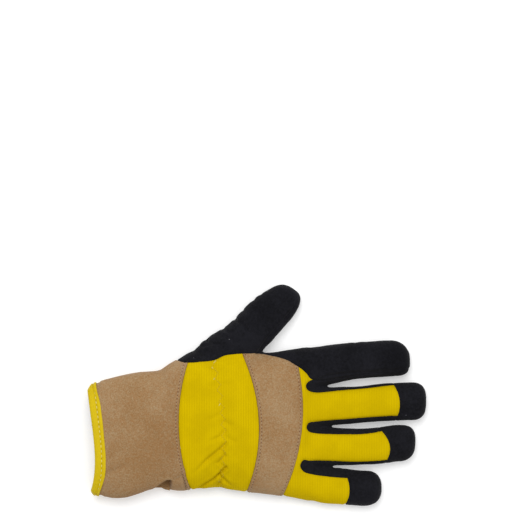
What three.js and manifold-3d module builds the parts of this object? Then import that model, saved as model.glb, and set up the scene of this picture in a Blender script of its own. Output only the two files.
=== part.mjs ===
// A rigger glove for the right hand, lying palm down, in millimetres.
// +X runs from the cuff to the fingertips, +Y towards the thumb, +Z up from the surface it lies on.
// The origin is the bottom centre of the glove's box.
//
// The glove is sewn from flat panels. Here one hollow form is lofted through sections, and thin
// fences that follow the seams cut it into those panels.

import * as THREE from 'three';
import { mergeVertices } from 'three/addons/utils/BufferGeometryUtils.js';
import Module from 'manifold-3d';

const wasm = await Module();
wasm.setup();

// Driving sizes
const WALL = 1.5;              // suede and knit alike
const SEAM_GAP = 0.3;          // clearance between neighbouring panels
const PALM_SEAM_HEIGHT = 5.5;  // where the back panels meet the palm panels, round the whole hand
const BINDING_WIDTH = 7.6;     // tape that folds over the hem
const BINDING_THICKNESS = 1.2;
const STRAP_WIDTH = 13.4;
const STRAP_THICKNESS = 1.6;

// Section shape: a superellipse whose underside is pressed flat by the surface
const ROUNDNESS = 2.3;
const WIDEST = { height: 7.6, share: 0.42 };   // of the widest line: a height, or a share in a low section
const PRESSED = { body: 1.6, finger: 1.25 };   // the underside is drawn this much deeper, then cut off flat

// Points round a section: across the back, and across the palm
const BODY_STEPS = { back: 20, palm: 6 };
const FINGER_STEPS = { back: 9, palm: 4 };

// Cuff, wrist and palm, from the hem to the webs between the fingers
const BODY = table('x thumbSide littleSide crown under', [
  [-134.0, 5.6, -74.6, 25.0, 3.6],
  [-127.4, 7.4, -75.6, 25.5, 3.6],
  [-119.0, 10.3, -76.8, 26.2, 3.4],
  [-108.0, 13.5, -78.7, 27.2, 3.2],
  [-97.0, 16.2, -77.4, 27.8, 3.0],
  [-86.0, 17.9, -74.5, 28.0, 2.6],
  [-79.0, 18.6, -72.0, 27.8, 2.2],
  [-72.0, 20.5, -71.2, 27.6, 1.4],
  [-65.0, 25.1, -72.3, 28.4, 0.4],
  [-58.0, 28.6, -72.6, 29.4, 0.0],
  [-51.0, 32.4, -72.0, 30.1, 0.0],
  [-43.0, 34.6, -71.3, 30.6, 0.0],
  [-34.0, 34.6, -70.6, 30.9, 0.0],
  [-24.0, 33.6, -70.8, 31.0, 0.0],
  [-12.0, 33.0, -72.8, 31.2, 0.0],
  [0.0, 32.8, -74.3, 30.8, 0.0],
  [12.0, 33.4, -76.0, 29.4, 0.0],
  [24.0, 34.8, -77.8, 27.0, 0.0],
  [34.0, 35.8, -79.3, 24.0, 0.0],
  [43.0, 36.2, -80.6, 19.5, 0.0],
  [51.0, 35.6, -80.6, 13.0, 0.0],
]);

// The hem isn't straight: its middle bows towards the hand, and its palm side stands back
const HEM = { x: -127.4, bow: 4.2, skew: 1.6, palmSetBack: 5.0, fadeLength: 34 };

// Fingers, from inside the palm to the start of the rounded tip. A fingertip panel's seam crosses
// the finger at cap.x, bowed towards the tip
const FINGER = 'x y half crown';
const FINGERS = {
  index: {
    tip: 116.7,
    rows: table(FINGER, [
      [22, 17.0, 12.5, 20], [54, 22.3, 14.9, 19.5], [81, 26.3, 14.1, 18], [102, 27.7, 13.7, 17],
    ]),
  },
  middle: {
    tip: 129.6,
    rows: table(FINGER, [
      [20, -10.5, 14.0, 22], [58, -8.7, 14.3, 19.5], [90, -6.1, 14.1, 18], [115, -4.8, 14.1, 17],
    ]),
    cap: { x: 108.6, bow: 2.0, lean: -1.3 },
  },
  ring: {
    tip: 120.8,
    rows: table(FINGER, [
      [20, -39.8, 14.0, 21.5], [62, -39.1, 14.2, 19], [85, -38.6, 13.9, 18], [106, -36.6, 13.9, 17],
    ]),
    cap: { x: 100.8, bow: 2.8, lean: -1.9 },
  },
  little: {
    tip: 95.2,
    rows: table(FINGER, [
      [20, -61.5, 11.5, 20], [55, -69.2, 13.7, 18], [72, -70.4, 13.7, 17], [81, -70.8, 13.6, 16.5],
    ]),
    cap: { x: 70.7, bow: 2.7, lean: 1.3 },
  },
};
const TIP_ROUNDNESS = 2.6;
const TIP_SHARES = [0.55, 0.82, 0.97];   // stations along the rounded tip
const FINGER_BODY_STATIONS = 4;

// Thumb: both ends of each section in plan, from inside the palm to the tip
const THUMB = table('outerX outerY innerX innerY crown', [
  [-53.0, 25.5, -22.0, -19.4, 20.0],
  [-41.8, 41.2, -11.4, -2.7, 21.0],
  [-23.6, 52.9, 2.0, 30.8, 20.5],
  [-9.9, 66.6, 12.2, 42.4, 19.5],
  [-0.8, 74.9, 20.5, 52.3, 18.5],
  [6.8, 79.6, 26.6, 59.6, 17.6],
  [13.5, 83.0, 31.2, 66.8, 16.2],
  [18.6, 84.0, 32.8, 72.4, 13.8],
  [23.4, 82.9, 31.8, 76.6, 11.0],
]);

// Relief of the back: the elastic gather, and the fold pressed into the cuff's outer edge
const GATHER = {
  x: -25, y: -33, curve: 0.0024,          // its line bows away from the fingers, about y
  valley: 1.6, width: 5,                  // the groove that the elastic pulls
  fold: 0.9, pitch: 11, slope: 0.7, reach: 13,
  stations: [-19, -11, -5, 0, 5, 13, 20],
};
const CUFF_FOLD = { x: -72, y: -66.5, length: 11, width: 7, depth: 6.5 };

// Seams across the hand, from side to side: x + lean * s + bow * s * s, with s from SEAM_Y
const SEAM_Y = { middle: -24, unit: 50 };
const CROSS_SEAMS = {
  wrist: { x: -59.3, lean: -1.4, bow: 7.1 },
  palmWrist: { x: -61.2, lean: -7.0, bow: 6.1 },
  strapRear: { x: 1.7, lean: -0.4, bow: -9.9 },
  strapFront: { x: 34.6, lean: 4.8, bow: -8.8 },
};

// Seams along the black panels of the thumb and the index finger, from behind the wrist to the tip
const THUMB_SEAM = [[-66, 33], [-52.4, 24.6], [-33.4, 26.6], [-11.2, 30.8], [3, 32.4], [14, 40.5]];
const INDEX_SEAM = [
  [4, 38], [14, 29.8], [32.3, 20], [41.8, 12.2], [50, 11.2], [81, 15.8], [98, 17.6], [114, 9],
];

// Side strips between the fingers: a U round each crotch, and the width that shows on each finger
const FOURCHETTES = table('name upper upperWidth lower lowerWidth endX endWidth tipX', [
  ['index_fourchette', 'index', 7.0, 'middle', 2.3, 37.7, 6.4, 120],
  ['middle_fourchette', 'middle', 3.5, 'ring', 4.0, 38.2, 7.0, 118],
  ['ring_fourchette', 'ring', 2.6, 'little', 6.0, 33.1, 7.6, 106],
]);
const SEAM_STEP = 5.5;         // distance between the points that a seam is drawn through

// Pull strap: sewn flat under the cuff, round the hem and back inside. Distances run towards the hem
const STRAP_TURN = { along: 40.3, height: 4.65, radius: 3.5 };
const STRAP_UNDER = table('along height', [[0, 1.5], [8, 1.5], [30, 1.1]]);
const STRAP_INSIDE = table('along height', [[34, 8.15], [22, 7.6], [14, 7.5]]);
const STRAP_END = { x: -82.0, y: -12.0, turn: THREE.MathUtils.degToRad(7) };

// Materials, one for each kind of cloth
const finish = (color, roughness) => new THREE.MeshStandardMaterial({ color, roughness, metalness: 0 });
const BLACK_SUEDE = finish(0x1b1b20, 0.95);
const TAN_SUEDE = finish(0xa58258, 0.95);
const YELLOW_KNIT = finish(0xd6b800, 0.8);
const YELLOW_TAPE = finish(0xdcc21a, 0.7);
const BLACK_STRAP = finish(0x232326, 0.45);

function table(columns, rows) {
  const names = columns.split(' ');
  return rows.map((row) => Object.fromEntries(names.map((name, i) => [name, row[i]])));
}

// A table's columns at any place along it, on a smooth curve through its rows
function rowAt(rows, x) {
  const last = rows.length - 1;
  const next = rows.findIndex((each) => each.x > x);
  const i = next < 0 ? last - 1 : Math.max(0, next - 1);
  const row = (k) => rows[Math.max(0, Math.min(last, k))];
  const [before, from, to, after] = [row(i - 1), row(i), row(i + 1), row(i + 2)];
  const span = to.x - from.x;
  const t = (x - from.x) / span;
  const found = {};
  for (const name of Object.keys(from)) {
    const slopeFrom = (to[name] - before[name]) / (to.x - before.x) * span;
    const slopeTo = (after[name] - from[name]) / (after.x - from.x) * span;
    found[name] = from[name] * (2 * t ** 3 - 3 * t ** 2 + 1) + slopeFrom * (t ** 3 - 2 * t ** 2 + t)
      + to[name] * (3 * t ** 2 - 2 * t ** 3) + slopeTo * (t ** 3 - t ** 2);
  }
  return found;
}

// Evenly spaced values from one end to the other, both included
function evenly(from, to, count) {
  return Array.from({ length: count }, (_, i) => from + (to - from) * i / (count - 1));
}

const signedPower = (value, power) => Math.sign(value) * Math.abs(value) ** power;
const bump = (distance) => Math.exp(-distance * distance);

// One ring of points round a section, inset from the glove's outer face (outset if negative)
function sectionRing(section, inset, steps, shape) {
  const outer = new THREE.Vector2(section.outerX, section.outerY);
  const inner = new THREE.Vector2(section.innerX, section.innerY);
  const middle = outer.clone().add(inner).multiplyScalar(0.5);
  const half = outer.clone().sub(inner).multiplyScalar(0.5);
  half.setLength(Math.max(0.4, half.length() - inset));
  const height = section.crown - section.under;
  const widest = section.under + Math.min(WIDEST.height, WIDEST.share * height);
  const floor = section.under + inset;
  const ring = [];
  for (let k = 0; k < steps.back + steps.palm; k += 1) {
    const back = k < steps.back;
    const angle = back ? Math.PI * k / steps.back : Math.PI * (1 + (k - steps.back) / steps.palm);
    const across = signedPower(Math.cos(angle), 2 / ROUNDNESS);
    const rise = signedPower(Math.sin(angle), 2 / ROUNDNESS);
    const place = middle.clone().addScaledVector(half, across);
    if (shape.shift) place.x += shape.shift(across, rise);
    const reach = back ? section.crown - inset - widest : (widest - floor) * shape.pressed;
    let z = Math.max(floor, widest + Math.max(0.3, reach) * rise);
    if (shape.relief && back) z -= shape.relief(place.x, place.y) * Math.min(1, 2 * rise);
    ring.push(new THREE.Vector3(place.x, place.y, z));
  }
  return ring;
}

// A closed solid through rings of equal count, with a fan over each end
function loft(rings) {
  const count = rings[0].length;
  const points = rings.flat();
  const centre = (ring) => ring.reduce((sum, p) => sum.add(p), new THREE.Vector3()).divideScalar(count);
  points.push(centre(rings[0]), centre(rings[rings.length - 1]));
  const [startCap, endCap] = [points.length - 2, points.length - 1];
  const faces = [];
  for (let r = 0; r < rings.length - 1; r += 1) {
    for (let k = 0; k < count; k += 1) {
      const [a, b] = [r * count + k, r * count + (k + 1) % count];
      faces.push(a, b, b + count, a, b + count, a + count);
    }
  }
  for (let k = 0; k < count; k += 1) {
    const next = (k + 1) % count;
    const lastRing = (rings.length - 1) * count;
    faces.push(startCap, next, k, endCap, lastRing + k, lastRing + next);
  }
  const geometry = new THREE.BufferGeometry();
  geometry.setAttribute('position', new THREE.Float32BufferAttribute(points.flatMap((p) => p.toArray()), 3));
  geometry.setIndex(faces);
  return solidOf(geometry);
}

function solidOf(geometry) {
  const bare = geometry.clone();
  bare.deleteAttribute('normal');
  bare.deleteAttribute('uv');
  const merged = mergeVertices(bare, 1e-4);
  const build = (triVerts) => new wasm.Manifold(new wasm.Mesh({
    numProp: 3, vertProperties: new Float32Array(merged.attributes.position.array), triVerts,
  }));
  const solid = build(new Uint32Array(merged.index.array));
  return solid.volume() > 0 ? solid : build(new Uint32Array(merged.index.array).reverse());
}

function geometryOf(solid) {
  const mesh = solid.getMesh();
  const geometry = new THREE.BufferGeometry();
  const points = [];
  for (let i = 0; i < mesh.vertProperties.length; i += mesh.numProp) {
    points.push(mesh.vertProperties[i], mesh.vertProperties[i + 1], mesh.vertProperties[i + 2]);
  }
  geometry.setAttribute('position', new THREE.Float32BufferAttribute(points, 3));
  geometry.setIndex(Array.from(mesh.triVerts));
  geometry.computeVertexNormals();
  return geometry;
}

// The back's relief, as a depth below the smooth crown
function backRelief(x, y) {
  const line = GATHER.x - GATHER.curve * (y - GATHER.y) ** 2;
  const away = Math.abs(x - line);
  const lowerHalf = THREE.MathUtils.smoothstep(-y, -10, 60);
  const fold = Math.cos(2 * Math.PI * (y + GATHER.slope * away) / GATHER.pitch);
  const valley = GATHER.valley * bump(away / GATHER.width);
  const folds = GATHER.fold * lowerHalf * bump(away / GATHER.reach) * fold;
  const pressed = bump((x - CUFF_FOLD.x) / CUFF_FOLD.length) * bump((y - CUFF_FOLD.y) / CUFF_FOLD.width);
  return valley + folds + CUFF_FOLD.depth * pressed;
}

// How far a point of the cuff moves along X to follow the bowed hem
function hemShift(x) {
  const fade = 1 - THREE.MathUtils.smoothstep(x, HEM.x + 10, HEM.x + 10 + HEM.fadeLength);
  return (across, rise) => fade * (HEM.bow * (1 - across ** 2) - HEM.skew * across
    + HEM.palmSetBack * THREE.MathUtils.smoothstep(-rise, -0.2, 0.8));
}

function body(inset, stations) {
  return loft(stations.map((x) => {
    const { thumbSide, littleSide, crown, under } = rowAt(BODY, x);
    const section = {
      outerX: x, outerY: thumbSide, innerX: x, innerY: littleSide, crown, under: Math.max(0, under),
    };
    const shape = { shift: hemShift(x), relief: backRelief, pressed: PRESSED.body };
    return sectionRing(section, inset, BODY_STEPS, shape);
  }));
}

// A finger: even stations to the start of its tip, then a rounded tip
function finger({ tip, rows }, inset) {
  const shoulder = rows[rows.length - 1].x;
  const straight = evenly(rows[0].x, shoulder, FINGER_BODY_STATIONS).map((x) => ({ x, shrink: 1 }));
  const rounded = TIP_SHARES.map((share) => ({
    x: shoulder + (tip - inset - shoulder) * share,
    shrink: (1 - share ** TIP_ROUNDNESS) ** (1 / TIP_ROUNDNESS),
  }));
  return loft([...straight, ...rounded].map(({ x, shrink }) => {
    const row = rowAt(rows, Math.min(x, shoulder));
    const crown = row.crown * (0.3 + 0.7 * shrink);
    const half = (row.half - inset) * shrink + inset;
    const section = { outerX: x, outerY: row.y + half, innerX: x, innerY: row.y - half, crown, under: 0 };
    return sectionRing(section, inset, FINGER_STEPS, { pressed: PRESSED.finger });
  }));
}

// The thumb points along the diagonal. At an inset, its last sections stand back from the tip as well
function thumb(inset) {
  const tipSections = 3;
  const firstOfTip = THUMB.length - tipSections;
  return loft(THUMB.map((row, i) => {
    const back = Math.SQRT1_2 * inset * Math.max(0, i - firstOfTip + 1) / tipSections;
    const section = {
      outerX: row.outerX - back, outerY: row.outerY - back,
      innerX: row.innerX - back, innerY: row.innerY - back,
      crown: row.crown, under: 0,
    };
    return sectionRing(section, inset, FINGER_STEPS, { pressed: PRESSED.finger });
  }));
}

// The whole hand form at an inset from the outer face
function handForm(inset, stations) {
  const palmAndThumb = body(inset, stations).add(thumb(inset));
  return Object.values(FINGERS).reduce((sum, row) => sum.add(finger(row, inset)), palmAndThumb);
}

const points2 = (pairs) => pairs.map(([x, y]) => new THREE.Vector2(x, y));

// A seam that crosses the hand, or one finger, from its thumb side to its little-finger side
function crossSeam({ x, lean, bow }, middle, unit, from, to) {
  return points2(evenly(from, to, 7).map((y) => {
    const s = (y - middle) / unit;
    return [x + lean * s + bow * s * s, y];
  }));
}

function capSeam({ rows, cap }) {
  const { y, half } = rowAt(rows, cap.x);
  const past = half + 1.2;
  return crossSeam({ x: cap.x, lean: cap.lean, bow: -cap.bow }, y, half, y + past, y - past);
}

// The U of a side strip: out along the upper finger, round the crotch, back along the lower one
function fourchetteSeam(row) {
  const armX = row.endX + 8;
  const arm = (x, side) => {
    const place = rowAt(FINGERS[row[side]].rows, x);
    return side === 'upper' ? place.y - place.half + row.upperWidth : place.y + place.half - row.lowerWidth;
  };
  const stations = evenly(row.tipX, armX, 5);
  const crotch = (arm(armX, 'upper') + arm(armX, 'lower')) / 2;
  const corner = 0.36 * row.endWidth;
  return points2([
    ...stations.map((x) => [x, arm(x, 'upper')]),
    [row.endX + corner / 2, crotch + corner], [row.endX, crotch], [row.endX + corner / 2, crotch - corner],
    ...stations.reverse().map((x) => [x, arm(x, 'lower')]),
  ]);
}

// A thin upright wall that follows a seam, between two heights
function fence(seam, low, high) {
  const curve = new THREE.SplineCurve(seam);
  const count = Math.ceil(curve.getLength() / SEAM_STEP);
  const sides = [[], []];
  for (let i = 0; i <= count; i += 1) {
    const point = curve.getPointAt(i / count);
    const along = curve.getTangentAt(i / count);
    const off = new THREE.Vector2(-along.y, along.x).multiplyScalar(SEAM_GAP / 2);
    sides[0].push(point.clone().add(off));
    sides[1].unshift(point.clone().sub(off));
  }
  const wall = new THREE.ExtrudeGeometry(new THREE.Shape([...sides[0], ...sides[1]]), {
    depth: high - low, bevelEnabled: false,
  });
  return solidOf(wall.translate(0, 0, low));
}

function slab(low, high) {
  const reach = 400;
  return solidOf(new THREE.BoxGeometry(reach, reach, high - low).translate(0, 0, (low + high) / 2));
}

// Cuts a panel out of a solid along a fence. The panel is the part that holds the point (x, y)
function cutOut(solid, cutter, x, y) {
  const parts = solid.subtract(cutter).decompose().filter((part) => part.volume() > 1);
  const nearest = (part) => {
    const points = part.getMesh().vertProperties;
    let best = Infinity;
    for (let i = 0; i < points.length; i += 3) {
      best = Math.min(best, Math.hypot(points[i] - x, points[i + 1] - y));
    }
    return best;
  };
  const distances = parts.map(nearest);
  const chosen = distances.indexOf(Math.min(...distances));
  const others = parts.filter((_, i) => i !== chosen);
  return [parts[chosen], others.reduce((sum, part) => sum.add(part))];
}

const glove = new THREE.Group();

function addPanel(name, solid, material) {
  const mesh = new THREE.Mesh(geometryOf(solid), material);
  mesh.name = name;
  glove.add(mesh);
}

// The hollow hand, parted at the palm seam
const bodyEnd = BODY[BODY.length - 1].x;
const handStations = [
  ...evenly(HEM.x, -52, 9), ...GATHER.stations.map((offset) => GATHER.x + offset), ...evenly(3, bodyEnd, 5),
];
const hollowStations = [HEM.x - 6, ...handStations.slice(1, -1), bodyEnd - WALL];
const hollowHand = handForm(0, handStations).subtract(handForm(WALL, hollowStations));
const aboveSeam = slab(PALM_SEAM_HEIGHT + SEAM_GAP / 2, 60);
const belowSeam = slab(-10, PALM_SEAM_HEIGHT - SEAM_GAP / 2);
const backShell = hollowHand.intersect(aboveSeam);
const palmShell = hollowHand.intersect(belowSeam);

// Back panels, cut one after another from the shell that is left. Each holds its point (x, y)
const acrossHand = (name) => crossSeam(CROSS_SEAMS[name], SEAM_Y.middle, SEAM_Y.unit, 44, -92);
const BACK_PANELS = [
  { name: 'thumb_back', seam: points2(THUMB_SEAM), x: 10, y: 70, material: BLACK_SUEDE },
  { name: 'index_back', seam: points2(INDEX_SEAM), x: 90, y: 30, material: BLACK_SUEDE },
  { name: 'cuff_back', seam: acrossHand('wrist'), x: -100, y: -30, material: TAN_SUEDE },
  { name: 'hand_back', seam: acrossHand('strapRear'), x: -30, y: -20, material: YELLOW_KNIT },
  { name: 'knuckle_strap', seam: acrossHand('strapFront'), x: 18, y: -20, material: TAN_SUEDE },
  ...['middle', 'ring', 'little'].map((name) => {
    const { tip, rows } = FINGERS[name];
    const { y } = rows[rows.length - 1];
    return { name: `${name}_fingertip`, seam: capSeam(FINGERS[name]), x: tip - 4, y, material: BLACK_SUEDE };
  }),
  ...FOURCHETTES.map((row) => {
    const seam = fourchetteSeam(row);
    const { y } = seam[(seam.length - 1) / 2];
    return { name: row.name, seam, x: row.endX + 6, y, material: BLACK_SUEDE };
  }),
];
let shell = backShell;
for (const { name, seam, x, y, material } of BACK_PANELS) {
  const [panel, rest] = cutOut(shell, fence(seam, PALM_SEAM_HEIGHT - 1, 50), x, y);
  addPanel(name, panel, material);
  shell = rest;
}
addPanel('finger_back', shell, YELLOW_KNIT);

// Palm panels
const palmFence = fence(acrossHand('palmWrist'), -5, PALM_SEAM_HEIGHT + 1);
const [cuffPalm, palm] = cutOut(palmShell, palmFence, -100, -30);
addPanel('cuff_palm', cuffPalm, TAN_SUEDE);
addPanel('palm', palm, BLACK_SUEDE);

// Hem binding: a tape folded over the hem, with the cuff's wall in its groove
function ribbon(inset, start, length) {
  const count = Math.ceil(length / 9) + 1;
  return body(inset, evenly(HEM.x + start, HEM.x + start + length, count));
}
const tape = ribbon(-BINDING_THICKNESS, -BINDING_THICKNESS, BINDING_THICKNESS + BINDING_WIDTH);
const mouth = ribbon(WALL + BINDING_THICKNESS, -5, BINDING_WIDTH + 10);
const wallSpace = ribbon(-SEAM_GAP, -SEAM_GAP, BINDING_WIDTH + 6);
const groove = wallSpace.subtract(ribbon(WALL + SEAM_GAP, -4, BINDING_WIDTH + 14));
addPanel('hem_binding', tape.subtract(mouth).subtract(groove), YELLOW_TAPE);

// Pull strap
const turn = evenly(-Math.PI / 2, Math.PI / 2, 7).map((angle) => ({
  along: STRAP_TURN.along + STRAP_TURN.radius * Math.cos(angle),
  height: STRAP_TURN.height + STRAP_TURN.radius * Math.sin(angle),
}));
const strapRun = [...STRAP_UNDER, ...turn, ...STRAP_INSIDE];
const strapPoints = strapRun.map(({ along, height }) => new THREE.Vector3(-along, 0, height));
const strapSection = new THREE.Shape(points2([
  [-STRAP_WIDTH / 2, -STRAP_THICKNESS / 2], [STRAP_WIDTH / 2, -STRAP_THICKNESS / 2],
  [STRAP_WIDTH / 2, STRAP_THICKNESS / 2], [-STRAP_WIDTH / 2, STRAP_THICKNESS / 2],
]));
const strap = new THREE.ExtrudeGeometry(strapSection, {
  extrudePath: new THREE.CatmullRomCurve3(strapPoints), steps: 30, bevelEnabled: false,
});
strap.rotateZ(STRAP_END.turn).translate(STRAP_END.x, STRAP_END.y, 0);
addPanel('pull_strap', solidOf(strap), BLACK_STRAP);

export default glove;
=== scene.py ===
# %% [markdown]
# # A work glove, sewn from panels
#
# The real glove is cut from flat suede and knit, sewn inside out, and turned. What the eye reads is the
# puffed form of a hand, parted by sunk seams, with rows of stitching beside some of them. This lesson
# follows that order: one soft form, cut along its seams into panels, then edges, stitches and finishes.

# %% Open the frame
import math
import bpy
import numpy as np
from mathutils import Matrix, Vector, noise
from mathutils.bvhtree import BVHTree
from mathutils.kdtree import KDTree


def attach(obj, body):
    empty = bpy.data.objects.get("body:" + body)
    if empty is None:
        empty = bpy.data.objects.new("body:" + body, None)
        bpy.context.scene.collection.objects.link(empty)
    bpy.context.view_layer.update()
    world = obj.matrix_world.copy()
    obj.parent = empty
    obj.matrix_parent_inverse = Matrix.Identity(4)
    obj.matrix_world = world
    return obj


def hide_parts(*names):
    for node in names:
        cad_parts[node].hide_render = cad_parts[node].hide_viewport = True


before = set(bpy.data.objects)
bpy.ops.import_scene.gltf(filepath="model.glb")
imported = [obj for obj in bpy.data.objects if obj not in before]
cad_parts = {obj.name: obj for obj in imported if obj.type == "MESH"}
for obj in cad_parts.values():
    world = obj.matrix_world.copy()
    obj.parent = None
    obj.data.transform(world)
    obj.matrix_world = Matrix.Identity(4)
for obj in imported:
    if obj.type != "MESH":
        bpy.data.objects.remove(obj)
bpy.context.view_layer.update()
MM = 0.001
print("frame:", len(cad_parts), "solids")

# %% [markdown]
# Every size below is in millimetres, as a glove maker would write it, and turned into metres only when a
# mesh is made. A table row is one cross-section. Between rows the sizes follow a smooth curve, so a few
# rows give the whole outline, and changing one number moves the form without leaving a kink.

# %% Sections of the hand
BODY = [  # x, thumb side, little-finger side, crown, underside
    (-142.0, 2.0, -72.4, 24.4, 3.6), (-134.0, 4.2, -73.6, 25.0, 3.6), (-127.4, 6.5, -74.9, 25.5, 3.6),
    (-119.0, 10.2, -76.3, 26.2, 3.4), (-108.0, 13.3, -78.0, 27.2, 3.2), (-97.0, 15.9, -76.8, 27.8, 3.0),
    (-86.0, 17.3, -73.2, 28.0, 2.6), (-79.0, 17.7, -70.9, 27.8, 2.2), (-72.0, 19.4, -70.1, 27.6, 1.4),
    (-65.0, 23.9, -71.5, 28.4, 0.4), (-58.0, 28.0, -72.4, 29.4, 0.0), (-51.0, 32.4, -71.7, 30.1, 0.0),
    (-43.0, 34.6, -71.0, 30.6, 0.0), (-34.0, 34.6, -70.3, 30.9, 0.0), (-24.0, 33.6, -71.3, 31.0, 0.0),
    (-12.0, 32.6, -73.1, 31.2, 0.0), (0.0, 31.9, -74.0, 30.8, 0.0), (12.0, 32.2, -75.6, 29.4, 0.0),
    (24.0, 34.2, -77.4, 27.0, 0.0), (34.0, 35.8, -79.5, 24.0, 0.0), (41.0, 36.0, -80.3, 19.5, 0.0),
    (46.0, 34.5, -79.0, 13.5, 0.0), (49.0, 32.0, -77.5, 9.6, 0.0), (51.5, 29.0, -76.0, 6.2, 0.0),
]
FINGERS = {  # tip, how square it is on both sides, then rows of x, centre, half width and crown
    "index": (116.2, (2.0, 3.4), [
        (22, 18.5, 14.0, 20), (40, 20.4, 15.4, 20), (46, 21.1, 15.5, 19.7), (52, 22.35, 15.15, 19.4),
        (58, 23.3, 15.0, 19.2), (66, 24.8, 14.4, 19), (81, 26.5, 13.9, 18), (102, 27.7, 13.7, 17)]),
    "middle": (128.5, (2.9, 2.9), [
        (20, -10.5, 14.0, 22), (48, -9.3, 15.3, 20), (52, -9.15, 14.75, 19.8), (56, -8.7, 14.5, 19.5),
        (64, -8.4, 14.4, 19), (78, -7.4, 13.8, 18.5), (98, -5.6, 14.3, 17.5), (115, -4.85, 14.45, 17)]),
    "ring": (120.4, (3.3, 2.6), [
        (20, -39.8, 14.0, 21.5), (48, -39.05, 15.65, 20), (56, -39.2, 14.6, 19.5), (64, -39.3, 14.3, 19),
        (76, -39.35, 13.75, 18.5), (90, -38.6, 13.8, 18), (106, -36.5, 13.9, 17)]),
    "little": (94.5, (2.6, 2.4), [
        (20, -61.5, 11.5, 20), (48, -68.05, 13.65, 18.5), (56, -68.95, 13.75, 18), (64, -69.3, 13.9, 17.5),
        (72, -70.2, 13.6, 17), (81, -70.8, 13.6, 16.5)]),
}
THUMB = [  # station, both ends of the section in plan, crown
    (0, -53.0, 25.5, -22.0, -19.4, 20.0), (1, -41.3, 40.7, -11.1, -3.0, 21.0),
    (2, -23.1, 52.4, 2.3, 30.5, 20.5), (3, -9.4, 66.1, 12.5, 42.1, 19.5),
    (4, -0.3, 74.4, 20.8, 52.0, 18.5), (5, 7.3, 79.1, 26.9, 59.3, 17.6),
    (6, 14.0, 82.5, 31.5, 66.5, 16.2), (7, 19.1, 83.7, 33.1, 72.1, 14.4),
    (8, 23.6, 82.6, 32.5, 75.8, 11.6), (9, 26.4, 81.1, 30.8, 78.1, 9.0),
]
print("tables:", len(BODY), "sections of the palm,", len(FINGERS), "fingers and a thumb")

# %% [markdown]
# Leather bends in even curves, so the values between two rows must not kink at a row. A cubic through the
# rows, with its slope at each row taken from the two beside it, is smooth and still passes through every
# number of the table. The small helpers beside it fade one thing into another over a range.

# %% Curves between the rows
def smoothstep(value, low, high):
    t = np.clip((value - low) / (high - low), 0, 1)
    return t * t * (3 - 2 * t)


def bell(distance, width):
    """1 at no distance, and soon nothing past the width."""
    return np.exp(-(distance / width) ** 2)


def unit(vectors):
    """The same directions, each 1 long."""
    return vectors / np.maximum(1e-9, np.linalg.norm(vectors, axis=1))[:, None]


def run_along(points):
    """How far along its line each point lies."""
    return np.concatenate([[0], np.cumsum(np.linalg.norm(np.diff(points, axis=0), axis=1))])


def row_at(rows, x):
    """The table's row at any x, on a smooth curve through its rows."""
    rows = np.array(rows, float)
    last = len(rows) - 1
    i = int(np.clip(np.searchsorted(rows[:, 0], x, side="right") - 1, 0, last - 1))
    before, a, b, after = (rows[min(max(k, 0), last)] for k in (i - 1, i, i + 1, i + 2))
    span = b[0] - a[0]
    t = (x - a[0]) / span
    slope_a = (b - before) / (b[0] - before[0]) * span
    slope_b = (after - a) / (after[0] - a[0]) * span
    return (a * (2 * t**3 - 3 * t**2 + 1) + slope_a * (t**3 - 2 * t**2 + t)
            + b * (3 * t**2 - 2 * t**3) + slope_b * (t**3 - t**2))


print("between two rows of the palm:", row_at(BODY, (BODY[0][0] + BODY[1][0]) / 2).round(1))

# %% [markdown]
# Seen from the end, an empty glove that lies on a table is a soft pillow: round on top, fuller towards the
# table, and flat where it rests. A superellipse gives that with one number for how square it is, and
# its lower half is pushed past the table and cut off there.

# %% One section
ROUNDNESS = 2.3
WIDEST_HEIGHT = 7.6
WIDEST_SHARE = 0.42
LEAST_HALF = 0.3


def section_ring(outer, inner, crown, under, pressed, inset=0.0, count=120, shift=None):
    """Points round one section: a superellipse, cut off flat where the surface presses it."""
    angle = np.linspace(0, 2 * math.pi, count, endpoint=False)
    across = np.sign(np.cos(angle)) * np.abs(np.cos(angle)) ** (2 / ROUNDNESS)
    rise = np.sign(np.sin(angle)) * np.abs(np.sin(angle)) ** (2 / ROUNDNESS)
    outer, inner = np.array(outer, float), np.array(inner, float)
    half = (outer - inner) / 2
    width = np.linalg.norm(half)
    half *= max(LEAST_HALF, width - inset) / width
    widest = under + min(WIDEST_HEIGHT, WIDEST_SHARE * (crown - under))
    floor = under + inset
    reach = np.where(rise > 0, crown - inset - widest, (widest - floor) * pressed)
    place = (outer + inner) / 2 + half * across[:, None]
    if shift is not None:
        place[:, 0] += shift(across, rise)
    return np.column_stack([place, np.maximum(floor, widest + reach * rise)])


print("a section has", len(section_ring((0.0, 1.0), (0.0, -1.0), 1.0, 0.0, 1.0)), "points")

# %% [markdown]
# The sections of the cuff can't stay straight planes, because the hem is cut in a bow and the palm side is
# set back from it. So the rings near the hem are shifted along the hand, more at some places across than
# at others. The same is done at the other end, where the webs between the fingers aren't in one line.

# %% Rings of the palm and cuff
PRESSED_BODY = 1.6
HEM_X = -127.4
HEM_CURVE = (4.9, -3.9, -3.35, 2.84, -1.0)  # its line from side to side, as powers of the share across
HEM_CORNER = 1.8
CORNER_REACH = (0.92, 1.0)  # shares across the cuff over which the corner is turned in
PALM_SIDE = (0.1, 0.75)  # shares of the way down a section over which the hem changes to its palm line
HEM_PALM_SET_BACK = 5.0
HEM_FADE = (-117.4, -83.4)  # x between which the sections stop following the bowed hem
WEB_FADE = (38.0, 50.0)  # x between which they begin to follow the webs
WEB_CURVE = (0.5, -3.6, -4.75)


def hem_line(across, low):
    """How far the bowed hem stands from HEM_X, at a share across the cuff. low is 1 on the palm side."""
    return np.polynomial.polynomial.polyval(across, HEM_CURVE) + HEM_PALM_SET_BACK * low


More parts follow.
